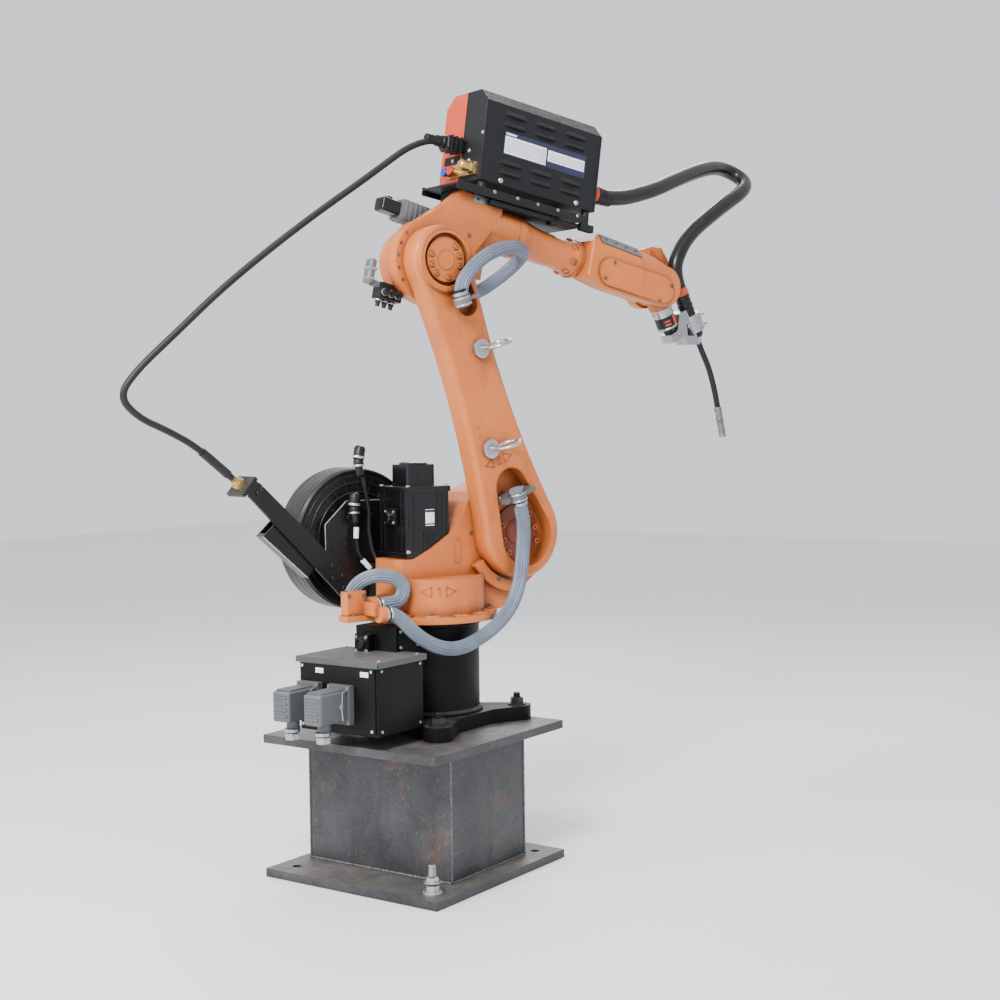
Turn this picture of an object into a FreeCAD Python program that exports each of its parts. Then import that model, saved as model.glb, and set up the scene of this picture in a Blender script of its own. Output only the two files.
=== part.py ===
import FreeCAD, Part
import math
import os
from FreeCAD import Placement, Rotation, Vector

# Six-axis arc-welding robot arm on a welded steel plinth, in millimetres.
# Row frame: origin at the middle of the base plate's underside, +Z up,
# +X towards the robot's front, +Y to its left.

# ---- driving dimensions: plinth -------------------------------------------
PLATE_X = 450.0
PLATE_Y = 442.0
PLATE_T = 17.0
ANCHOR_INSET = 45.0
ANCHOR_D = 18.0
PLINTH_H = 261.0
PLINTH_X = 256.0
PLINTH_Y = 371.0
PLINTH_SHIFT_X = 17.0
PLINTH_SHIFT_Y = 12.5
WALL_T = 10.0

# ---- driving dimensions: robot kinematics ---------------------------------
AXIS1_X = 53.0
AXIS1_Y = -5.0
AXIS2_FORWARD = 180.0
AXIS2_HEIGHT = 400.0
LOWER_ARM_L = 600.0
FOREARM_OFFSET = 124.0
FOREARM_L = 640.0
HAND_Y = -15.0
# pose of the part as modelled, in degrees
REST_TURN = -17.5
REST_LEAN = -19.3
REST_FOREARM_DROP = 13.0
REST_WRIST_BEND = 50.0

# ---- driving dimensions: clearances and seats --------------------------------
JOINT_GAP = 1.0
SEAT = 1.0
HOSE_FIT = 0.4

# ---- driving dimensions: fixed base -------------------------------------------
FOOT_T = 30.0
FOOT_X = 120.0
FOOT_Y = 112.0
FOOT_BOLT_X = 140.0
FOOT_BOLT_Y = 120.0
FOOT_BOLT_D = 14.0
FOOT_LUG_R = 30.0
COLUMN_R = 100.0
BOX_REAR = -303.0
BOX_FRONT = -160.0
BOX_Y = 100.0
BOX_Z0 = 30.0
BOX_Z1 = 172.0
DUCT_REAR = -175.0
DUCT_Y = (-44.0, 60.0)
PORT_L = 22.0
PORT_Y = (10.0, 46.0)
PORT_Z = (172.0, 210.0)
HOOD_YS = (-15.0, 65.0)
HOOD_Z = (60.0, 120.0)
HOOD_L = 78.0
HOOD_Y = 22.0
HOOD_SEAT_T = 18.0
HOOD_GLAND_R = 13.0

# ---- driving dimensions: rotating column ----------------------------------------
FLANGE_Z = 226.0
FLANGE_T = 14.0
FLANGE_R = 139.0
EAR_REAR = -246.0
EAR_Y = (-62.0, -28.0)
EAR_T = 12.0
DRUM_R = 112.0
DRUM_FAR_Y = 80.0
SHELF_REAR = -112.0
SHELF_Y = 50.0
SHELF_Z = 355.0
WEB_OUTLINE = [(-94, 240), (-94, 346), (-30, 374), (17, 402), (46, 435), (65, 469), (90, 487),
               (125, 500), (190, 500), (285, 400), (240, 300), (150, 236), (40, 236)]
WEB_FAR_Y = 60.0
DISC2_R = 112.0
DISC2_FAR_Y = 66.0
STOP_R = 128.0
STOP_Y = -62.0
MOTOR_S = 108.0
MOTOR_H = 148.0
MOTOR_X = -30.0
MOTOR_Y = 16.0
MOTOR_CAP_S = 70.0
MOTOR_CAP_H = 46.0
SHOULDER_MOTOR_R = 54.0
SHOULDER_MOTOR_END = 200.0
CLAMP_Y = (-52.0, -28.0)
CLAMP_X = (-242.0, -194.0)
CLAMP_TOP = 300.0
COLLAR_L = 16.0
COLLAR_HIGH = (-62.0, 271.0)
COLLAR_LOW = (-94.0, 255.0)
REAR_GLAND = (8.0, 266.0)
GLAND_L = 12.0
GLAND_LIP = 3.0
GREY_HOSE_R = 14.5
CONDUIT_R = 7.0
TORCH_HOSE_R = 17.5

# ---- driving dimensions: wire spool -----------------------------------------------
SPOOL_R = 150.0
SPOOL_W = 80.0
SPOOL_X = -112.0
SPOOL_Y = 104.0
SPOOL_Z = 393.0
SPOOL_BOSS_R = 40.0
BAR_Y = 60.0
BAR_T = 8.0
SIDE_PLATE_T = 6.0
SIDE_OUTLINE = [(-205, 336), (-206, 427), (-154, 474), (-62, 474), (-30, 400), (-50, 290), (-110, 262)]
BAR_OUTLINE = [(-393, 493), (-370, 520), (-150, 311), (-175, 270)]
TRAY_OUTLINE = [(-360, 412), (-313, 453), (-216, 366), (-258, 322)]
TRAY_Y = (68.0, 98.0)
TRAY_WALL = 3.0

# ---- driving dimensions: lower arm ----------------------------------------------------
ARM_OUT_Y = -92.0
ARM_T = 46.0
ARM_LOW_R = 98.0
ARM_TOP_R = 72.0
ARM_SIDE_R = 1900.0
ARM_EDGE_R = 12.0
POCKET_DEPTH = 34.0
GEAR_COVER_R = 58.0
GEAR_COVER_T = 6.0
UPPER_POCKET_DEPTH = 26.0
RING_OUT_R = 66.0
RING_IN_R = 54.0
RING_T = 8.0
PIVOT_CAP_R = 46.0

# ---- driving dimensions: elbow ---------------------------------------------------------
ELBOW_R = 89.0
ELBOW_PLATE_T = 30.0
ELBOW_CORE_R = 72.0
ELBOW_FAR_Y = 40.0
SKIRT_OUTLINE = [(-74, 50), (14, 132), (45, 168), (156, 168),
                 (156, 147), (139, 108), (106, 53), (75, -55)]
NECK_BLOCK = (62.0, 150.0, 6.0, 150.0)
ROOT_R = 47.0
ROOT_END = 212.0
AXIS4_START = 213.0
ELBOW_MOTOR_R = 44.0
ELBOW_MOTOR_L = 80.0
ELBOW_MOTOR_AT = (44.0, 4.0)
WRIST_MOTOR = (-60.0, 64.0, 6.0, 50.0, 82.0, 122.0)
WRIST_MOTOR_CAP = (-104.0, 12.0, 44.0, 87.0, 116.0)
JUNCTION = (-88.0, -36.0, -14.0, 18.0, -96.0, -64.0)
WHITE_PLUG = (-122.0, -106.0, -12.0, 12.0, -74.0, -22.0)

# ---- driving dimensions: wire feeder ----------------------------------------------------
FEEDER_X = 70.0
FEEDER_Z = 197.0
FEEDER_TILT = 4.5
FEEDER_L = 318.0
FEEDER_Y = (-65.0, 82.0)
FEEDER_SPLIT = 8.0
FEEDER_H = 196.0
FEEDER_CHAMFER = 26.0
FEEDER_PLATE = (-55.0, 305.0, -62.0, 62.0)
FEEDER_PLATE_Z = (-22.0, -18.0)
OUTLET_Y = -36.0
OUTLET_Z = 48.0
OUTLET_R = 19.0
OUTLET_L = 22.0
INLET_Y = 16.0
INLET_Z = 78.0

# ---- driving dimensions: forearm and wrist ------------------------------------------------
TUBE_TAPER = [(228, 47), (250, 42), (284, 37), (345, 35)]
TUBE_END = [(266, 37), (254, 41), (236, 42)]
TUBE_PROFILE = [(AXIS4_START, 47)] + TUBE_TAPER + [(FOREARM_L - back, r) for back, r in TUBE_END]
WRIST_Y = 62.0
WRIST_FAR_Y = 36.0
WRIST_END_R = 46.0
CHEEK_SHAPE = [(236, 84), (236, 164), (215, 188), (170, 196), (40, 184), (0, 170), (0, 78),
               (80, 72), (185, 68), (210, 74)]
CHEEK_OUTLINE = [(FOREARM_L - back, z) for back, z in CHEEK_SHAPE]
HOUSING_SECTION = [(-62, 66), (-30, 68), (20, 96), (36, 116), (36, 240),
                   (14, 240), (14, 200), (-40, 188), (-62, 164)]
HUMP_SHAPE = [(-70, 150), (-55, 196), (0, 226), (32, 232), (68, 200), (68, 170), (32, 130)]
HUMP_OUTLINE = [(FOREARM_L + ahead, z) for ahead, z in HUMP_SHAPE]
HUB_R = 40.0
HUB_HALF = 28.0
HAND_R = 28.0
HAND_L = 50.0

# ---- driving dimensions: tool ---------------------------------------------------------------
TOOL_FLANGE_R = 25.0
TOOL_FLANGE_L = 20.0
SENSOR_R = 24.0
SENSOR_L = 42.0
TORCH_OFFSET = 75.0
TORCH_R = 17.0
TORCH_X = (38.0, 160.0)
BRACKET_HALF = 18.0
BRACKET_OUTLINE = [(116, -15), (116, 10), (84, 34), (84, 56), (112, 60),
                   (176, 62), (160, 26), (136, 22), (136, -15)]
BRACKET_WINDOW = [(112, 44), (150, 54), (140, 34)]
TORCH_CLAMP_R = 26.0
CLAMP_ALONG = (104.0, 146.0)
NECK_R = 7.0
NECK_POINTS = [(160, 75), (200, 75), (245, 78), (300, 71), (350, 59)]
NOZZLE_R = 8.5
NOZZLE_L = 66.0

X_AXIS = Vector(1, 0, 0)
Y_AXIS = Vector(0, 1, 0)
Z_AXIS = Vector(0, 0, 1)
PLINTH_TOP = PLATE_T + PLINTH_H + PLATE_T
ARM_IN_Y = ARM_OUT_Y + ARM_T
CASTING_Y = ARM_IN_Y + JOINT_GAP


# ---- frames -------------------------------------------------------------------
def turned(axis, degrees, origin):
    return Placement(origin, Rotation(axis, degrees))


WORLD = Placement()
BASE = Placement(Vector(AXIS1_X, AXIS1_Y, PLINTH_TOP), Rotation())
TURN = turned(Z_AXIS, REST_TURN, Vector(AXIS1_X, AXIS1_Y, PLINTH_TOP))
LOWER = TURN * turned(Y_AXIS, REST_LEAN, Vector(AXIS2_FORWARD, 0, AXIS2_HEIGHT))
ELBOW = LOWER * turned(Y_AXIS, REST_FOREARM_DROP - REST_LEAN, Vector(0, 0, LOWER_ARM_L))
HAND = ELBOW * turned(Y_AXIS, REST_WRIST_BEND, Vector(FOREARM_L, HAND_Y, FOREARM_OFFSET))
FEEDER = ELBOW * turned(Y_AXIS, -FEEDER_TILT, Vector(FEEDER_X, 0, FEEDER_Z))


# ---- shape helpers ------------------------------------------------------------
def box(x0, x1, y0, y1, z0, z1):
    return Part.makeBox(x1 - x0, y1 - y0, z1 - z0, Vector(x0, y0, z0))


def cylinder(radius, start, end):
    run = end - start
    return Part.makeCylinder(radius, run.Length, start, run)


def along_x(radius, x0, x1, y, z):
    return cylinder(radius, Vector(x0, y, z), Vector(x1, y, z))


def along_y(radius, x, y0, y1, z):
    return cylinder(radius, Vector(x, y0, z), Vector(x, y1, z))


def along_z(radius, x, y, z0, z1):
    return cylinder(radius, Vector(x, y, z0), Vector(x, y, z1))


def prism(points, y0, y1):
    wire = Part.makePolygon([Vector(x, y0, z) for x, z in points + points[:1]])
    return Part.Face(wire).extrude(Vector(0, y1 - y0, 0))


def prism_x(points, x0, x1):
    wire = Part.makePolygon([Vector(x0, y, z) for y, z in points + points[:1]])
    return Part.Face(wire).extrude(Vector(x1 - x0, 0, 0))


def prism_z(points, z0, z1):
    wire = Part.makePolygon([Vector(x, y, z0) for x, y in points + points[:1]])
    return Part.Face(wire).extrude(Vector(0, 0, z1 - z0))


def revolved(profile, axis_z):
    """Turn an (x, radius) outline about the line along X at height axis_z."""
    first = profile[0][0]
    last = profile[-1][0]
    points = [(first, 0.0)] + profile + [(last, 0.0), (first, 0.0)]
    wire = Part.makePolygon([Vector(x, 0, axis_z + r) for x, r in points])
    return Part.Face(wire).revolve(Vector(0, 0, axis_z), X_AXIS, 360)


def rounded(shape, radius, wanted):
    edges = [e for e in shape.Edges if wanted(e)]
    return shape.makeFillet(radius, edges)


def every_edge(edge):
    return True


def is_closed(edge):
    return edge.Closed


def is_upright(edge):
    ends = [v.Point for v in edge.Vertexes]
    return len(ends) == 2 and (ends[1] - ends[0]).cross(Z_AXIS).Length < 0.001


def lies_at_y(edge, y):
    return abs(edge.CenterOfMass.y - y) < 0.01 and abs(edge.BoundBox.YLength) < 0.01


def tapered_slot(x0, z0, r0, x1, z1, r1, y0, y1):
    """A flat plate round two circles and the tangents between them."""
    run = Vector(x1 - x0, 0, z1 - z0)
    heading = math.atan2(run.z, run.x)
    lean = math.acos((r0 - r1) / run.Length)
    corners = []
    for side in (1, -1):
        turn = heading + side * lean
        for x, z, r in ((x0, z0, r0), (x1, z1, r1)):
            corners.append((x + r * math.cos(turn), z + r * math.sin(turn)))
    outline = [corners[0], corners[1], corners[3], corners[2]]
    plate = prism(outline, y0, y1)
    return plate.fuse([along_y(r0, x0, y0, y1, z0), along_y(r1, x1, y0, y1, z1)]).removeSplitter()


def dog_bone(r0, r1, length, side_r, y0, y1):
    """Two circles on a line, joined by two hollow sides tangent to both."""
    d0 = r0 + side_r
    d1 = r1 + side_r
    mid_z = (d0 * d0 - d1 * d1 + length * length) / (2 * length)
    mid_x = math.sqrt(d0 * d0 - mid_z * mid_z)
    low = Vector(r0 * mid_x / d0, y0, r0 * mid_z / d0)
    top = Vector(r1 * mid_x / d1, y0, length + r1 * (mid_z - length) / d1)
    waist = Vector(mid_x - side_r, y0, mid_z)

    def mirrored(p):
        return Vector(-p.x, p.y, p.z)

    edges = [
        Part.Arc(low, waist, top).toShape(),
        Part.Arc(top, Vector(0, y0, length + r1), mirrored(top)).toShape(),
        Part.Arc(mirrored(top), mirrored(waist), mirrored(low)).toShape(),
        Part.Arc(mirrored(low), Vector(0, y0, -r0), low).toShape(),
    ]
    return Part.Face(Part.Wire(edges)).extrude(Vector(0, y1 - y0, 0))


ARC_SHARE = 0.45


def tube(points, radius):
    """A round cord: straight runs joined by the largest tangent arcs they allow."""
    edges = []
    radii = []
    start = points[0]
    for before, corner, after in zip(points, points[1:], points[2:]):
        back = (before - corner).normalize()
        ahead = (after - corner).normalize()
        turn = math.pi - back.getAngle(ahead)
        shorter = min((before - corner).Length, (after - corner).Length)
        reach = ARC_SHARE * shorter
        bend = reach / math.tan(turn / 2)
        radii.append(bend)
        first = corner + back * reach
        last = corner + ahead * reach
        inward = (back + ahead).normalize()
        middle = corner + inward * (bend / math.cos(turn / 2) - bend)
        edges.append(Part.LineSegment(start, first).toShape())
        edges.append(Part.Arc(first, middle, last).toShape())
        start = last
    edges.append(Part.LineSegment(start, points[-1]).toShape())
    path = Part.Wire(edges)
    section = Part.Wire([Part.makeCircle(radius, points[0], points[1] - points[0])])
    body = path.makePipeShell([section], True, False)
    return body, path.Length, radii


NODES = {}


def add(name, shape, frame):
    solid = shape.copy()
    solid.Placement = frame * solid.Placement
    NODES[name] = solid


# ---- plinth ---------------------------------------------------------------------
def plinth():
    half_x = PLATE_X / 2
    half_y = PLATE_Y / 2
    base = box(-half_x, half_x, -half_y, half_y, 0, PLATE_T)
    for sx in (-1, 1):
        for sy in (-1, 1):
            x = sx * (half_x - ANCHOR_INSET)
            y = sy * (half_y - ANCHOR_INSET)
            base = base.cut(along_z(ANCHOR_D / 2, x, y, -1, PLATE_T + 1))
    add("base_plate", base, WORLD)
    top = PLATE_T + PLINTH_H
    add("top_plate", box(-half_x, half_x, -half_y, half_y, top, top + PLATE_T), WORLD)
    x0 = PLINTH_SHIFT_X - PLINTH_X / 2
    x1 = PLINTH_SHIFT_X + PLINTH_X / 2
    y0 = PLINTH_SHIFT_Y - PLINTH_Y / 2
    y1 = PLINTH_SHIFT_Y + PLINTH_Y / 2
    add("plinth_rear_wall", box(x0, x0 + WALL_T, y0, y1, PLATE_T, top), WORLD)
    add("plinth_front_wall", box(x1 - WALL_T, x1, y0, y1, PLATE_T, top), WORLD)
    inner0 = x0 + WALL_T
    inner1 = x1 - WALL_T
    add("plinth_right_wall", box(inner0, inner1, y0, y0 + WALL_T, PLATE_T, top), WORLD)
    add("plinth_left_wall", box(inner0, inner1, y1 - WALL_T, y1, PLATE_T, top), WORLD)


# ---- fixed base of the robot -------------------------------------------------------
BOX_EDGE_R = 4.0
HOOD_EDGE_R = 5.0
HOOD_SEAT_LIP = 6.0
HOOD_SEAT_RISE = 8.0
HOOD_GLAND_DROP = 24.0


def robot_base():
    foot = box(-FOOT_X, FOOT_X, -FOOT_Y, FOOT_Y, 0, FOOT_T)
    for sx in (-1, 1):
        for sy in (-1, 1):
            x = sx * FOOT_BOLT_X
            y = sy * FOOT_BOLT_Y
            lug = along_z(FOOT_LUG_R, x, y, 0, FOOT_T)
            web = prism_z([(sx * FOOT_X / 2, sy * FOOT_Y), (x, y + sy * FOOT_LUG_R),
                           (x + sx * FOOT_LUG_R, y), (sx * FOOT_X, sy * FOOT_Y / 3)], 0, FOOT_T)
            foot = foot.fuse([lug, web])
    foot = foot.removeSplitter()
    for sx in (-1, 1):
        for sy in (-1, 1):
            hole = along_z(FOOT_BOLT_D / 2, sx * FOOT_BOLT_X, sy * FOOT_BOLT_Y, -1, FOOT_T + 1)
            foot = foot.cut(hole)
    add("base_foot", foot, BASE)
    top = FLANGE_Z - JOINT_GAP
    column = along_z(COLUMN_R, 0, 0, FOOT_T, top)
    duct = box(DUCT_REAR, 0, DUCT_Y[0], DUCT_Y[1], BOX_Z1, top)
    port = box(DUCT_REAR - PORT_L, DUCT_REAR, PORT_Y[0], PORT_Y[1], PORT_Z[0], PORT_Z[1])
    under = box(BOX_FRONT, 0, DUCT_Y[0], DUCT_Y[1], BOX_Z0, BOX_Z1)
    add("base_column", column.fuse([duct, port, under]).removeSplitter(), BASE)
    shell = box(BOX_REAR, BOX_FRONT, -BOX_Y, BOX_Y, BOX_Z0, BOX_Z1)
    add("connector_box", rounded(shell, BOX_EDGE_R, is_upright), BASE)
    for index, y in enumerate(HOOD_YS):
        half = HOOD_Y + HOOD_SEAT_LIP
        low = HOOD_Z[0] - HOOD_SEAT_RISE
        seat = box(BOX_REAR - HOOD_SEAT_T, BOX_REAR, y - half, y + half, low, HOOD_Z[1] + HOOD_SEAT_RISE)
        hood_end = BOX_REAR - HOOD_SEAT_T + SEAT
        hood = box(hood_end - HOOD_L, hood_end, y - HOOD_Y, y + HOOD_Y, HOOD_Z[0], HOOD_Z[1])
        hood = rounded(hood, HOOD_EDGE_R, every_edge)
        gland_x = BOX_REAR - HOOD_L + HOOD_SEAT_T
        gland = along_z(HOOD_GLAND_R, gland_x, y, HOOD_Z[0] - HOOD_GLAND_DROP, HOOD_Z[0] + SEAT)
        add("base_connector_%d" % (index + 1), seat.fuse([hood, gland]).removeSplitter(), BASE)


# ---- rotating column ---------------------------------------------------------------
SHELF_FRONT = 60.0
SHELF_EDGE_R = 14.0
DRUM_DROP = 40.0
STOP_GAP = 5.0
STOP_ANGLES = (212, 240, 268)
MOTOR_EDGE_R = 8.0
MOTOR_CAP_EDGE_R = 12.0
BRACKET_WEB_T = 10.0
BRACKET_RISE = 8.0
COLLAR_LIP = 2.0


def rotating_column():
    flange_top = FLANGE_Z + FLANGE_T
    flange = along_z(FLANGE_R, 0, 0, FLANGE_Z, flange_top)
    ear = box(EAR_REAR, SHELF_REAR, EAR_Y[0], EAR_Y[1], flange_top, flange_top + EAR_T)
    drum = along_z(DRUM_R, 0, 0, FLANGE_Z, SHELF_Z - DRUM_DROP)
    drum = drum.common(box(-DRUM_R, DRUM_R, -DRUM_R, DRUM_FAR_Y, FLANGE_Z, SHELF_Z))
    shelf = box(SHELF_REAR, SHELF_FRONT, CASTING_Y, SHELF_Y, flange_top, SHELF_Z)
    shelf = rounded(shelf, SHELF_EDGE_R, is_upright)
    web = prism(WEB_OUTLINE, CASTING_Y, WEB_FAR_Y)
    disc = along_y(DISC2_R, AXIS2_FORWARD, CASTING_Y, DISC2_FAR_Y, AXIS2_HEIGHT)
    y, z = REAR_GLAND
    gland = along_x(GREY_HOSE_R + GLAND_LIP, SHELF_REAR - GLAND_L, SHELF_REAR, y, z)
    body = flange.fuse([ear, drum, shelf, web, disc, gland]).removeSplitter()
    add("rotating_column", body, TURN)
    stop = along_y(STOP_R, AXIS2_FORWARD, STOP_Y, CASTING_Y, AXIS2_HEIGHT)
    room = along_y(ARM_LOW_R + STOP_GAP, AXIS2_FORWARD, STOP_Y - 1, CASTING_Y + 1, AXIS2_HEIGHT)
    stop = stop.cut(room)
    reach = 2 * STOP_R
    outline = [(AXIS2_FORWARD, AXIS2_HEIGHT)]
    for degrees in STOP_ANGLES:
        angle = math.radians(degrees)
        x = AXIS2_FORWARD + reach * math.cos(angle)
        outline.append((x, AXIS2_HEIGHT + reach * math.sin(angle)))
    wedge = prism(outline, STOP_Y - 1, CASTING_Y + 1)
    add("stop_block", stop.common(wedge).cut(body), TURN)
    half = MOTOR_S / 2
    top = SHELF_Z + MOTOR_H
    motor = box(MOTOR_X - half, MOTOR_X + half, MOTOR_Y - half, MOTOR_Y + half, SHELF_Z, top)
    half = MOTOR_CAP_S / 2
    cap = box(MOTOR_X - half, MOTOR_X + half, MOTOR_Y - half, MOTOR_Y + half, top, top + MOTOR_CAP_H)
    motor = rounded(motor, MOTOR_EDGE_R, is_upright)
    motor = motor.fuse(rounded(cap, MOTOR_CAP_EDGE_R, is_upright)).removeSplitter()
    add("base_motor", motor.cut(web), TURN)
    shoulder = along_y(SHOULDER_MOTOR_R, AXIS2_FORWARD, DISC2_FAR_Y, SHOULDER_MOTOR_END, AXIS2_HEIGHT)
    add("shoulder_motor", shoulder, TURN)
    clip = box(CLAMP_X[0], CLAMP_X[1], CLAMP_Y[0], CLAMP_Y[1], flange_top + EAR_T, CLAMP_TOP)
    clip = rounded(clip, BOX_EDGE_R, is_upright)
    arm_top = COLLAR_HIGH[1] + BRACKET_RISE
    arm = box(CLAMP_X[1] - BRACKET_WEB_T, CLAMP_X[1], COLLAR_LOW[0], CLAMP_Y[0], flange_top + EAR_T, arm_top)
    collars = [along_x(GREY_HOSE_R + COLLAR_LIP, CLAMP_X[1] - SEAT, CLAMP_X[1] + COLLAR_L, y, z)
               for y, z in (COLLAR_HIGH, COLLAR_LOW)]
    add("hose_bracket", clip.fuse([arm] + collars).removeSplitter(), TURN)


# ---- wire spool and its bracket -------------------------------------------------------
SIDE_PLATE_Y = 84.0
STRUT = (-172.0, 303.0, 8.0)
FOOT_BLOCK = (-100.0, -60.0, 262.0, 340.0)
TAB_TILT = 40.0
TAB_AT = Vector(-394, BAR_Y + BAR_T, 515)
TAB_T = 8.0
TAB_LUG_L = 24.0
TAB_LUG_Z = (-15.0, 18.0)
TAB_HALF = 23.0
TAB_W = 60.0
TAB_HOLE_Y = 28.0
TAB_HOLE_R = 9.0
FITTING_X = (-18.0, 34.0)
FITTING_NUT_R = 13.0
FITTING_NUTS = ((-10.0, 0.0), (8.0, 18.0))
FITTING_GAP = 0.25
SPOOL_EDGE_R = 8.0
TAB = TURN * turned(Y_AXIS, TAB_TILT, TAB_AT)


def wire_spool():
    case = along_y(SPOOL_R, SPOOL_X, SPOOL_Y, SPOOL_Y + SPOOL_W, SPOOL_Z)
    case = rounded(case, SPOOL_EDGE_R, is_closed)
    add("spool_case", case, TURN)
    plate = prism(SIDE_OUTLINE, SIDE_PLATE_Y, SIDE_PLATE_Y + SIDE_PLATE_T)
    boss = along_y(SPOOL_BOSS_R, SPOOL_X, SIDE_PLATE_Y + SIDE_PLATE_T - SEAT, SPOOL_Y, SPOOL_Z)
    add("spool_side_plate", plate.fuse(boss).removeSplitter(), TURN)
    bar = prism(BAR_OUTLINE, BAR_Y, BAR_Y + BAR_T)
    strut = along_y(STRUT[2], STRUT[0], BAR_Y + BAR_T - SEAT, SIDE_PLATE_Y, STRUT[1])
    tab = box(0, TAB_T, -BAR_T, TAB_W, -TAB_HALF, TAB_HALF)
    tab = tab.cut(along_x(TAB_HOLE_R, -1, TAB_T + 1, TAB_HOLE_Y, 0))
    tab = tab.fuse(box(0, TAB_LUG_L, -BAR_T, 0, TAB_LUG_Z[0], TAB_LUG_Z[1]))
    tab.Placement = turned(Y_AXIS, TAB_TILT, TAB_AT)
    add("spool_bracket", bar.fuse([strut, tab]).removeSplitter(), TURN)
    core = along_x(TAB_HOLE_R - FITTING_GAP, FITTING_X[0], FITTING_X[1], TAB_HOLE_Y, 0)
    nuts = [along_x(FITTING_NUT_R, x0, x1, TAB_HOLE_Y, 0) for x0, x1 in FITTING_NUTS]
    add("conduit_fitting", core.fuse(nuts).removeSplitter(), TAB)
    foot = box(FOOT_BLOCK[0], FOOT_BLOCK[1], SHELF_Y, SIDE_PLATE_Y, FOOT_BLOCK[2], FOOT_BLOCK[3])
    column = NODES["rotating_column"].copy()
    column.Placement = TURN.inverse() * column.Placement
    add("spool_foot", foot.cut(column), TURN)
    outer = prism(TRAY_OUTLINE, TRAY_Y[0], TRAY_Y[1])
    inner = prism([(TRAY_OUTLINE[0][0] + TRAY_WALL, TRAY_OUTLINE[0][1] + 8),
                   (TRAY_OUTLINE[1][0] - 6, TRAY_OUTLINE[1][1] + TRAY_WALL),
                   (TRAY_OUTLINE[2][0] - 3, TRAY_OUTLINE[2][1] + 6),
                   (TRAY_OUTLINE[3][0] + 6, TRAY_OUTLINE[3][1] + 8)],
                  TRAY_Y[0] + TRAY_WALL, TRAY_Y[1] - TRAY_WALL)
    add("wire_tray", outer.cut(inner), TURN)


# ---- lower arm --------------------------------------------------------------------------
POCKET_LOW = (6.0, -8.0, 66.0)
POCKET_TOP = (2.0, 104.0, 40.0)
UPPER_LOW = (24.0, 500.0, 26.0)
UPPER_TOP = (26.0, 528.0, 22.0)
RING_LOW_AT = (-26.0, 199.0)
RING_HIGH_AT = (22.0, 403.0)
RING_R = 26.0
RING_WIRE_R = 4.0
PUCK_R = 19.0
CLAMP_LOW = (-40.0, 44.0, 80.0, 90.0)
CLAMP_LOW_X = -7.0
CLAMP_HIGH = (-6.0, 44.0, 508.0, 516.0)
CLAMP_HIGH_X = -5.0
CLAMP_R = GREY_HOSE_R + 4.0
HOSE_OUT = 24.0
PUCK_T = 8.0
HOOP_OUT = 32.0
STEM_R = 5.0
CLAMP_RING_RISE = 4.0
CLAMP_NOSE = 90.0


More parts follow.
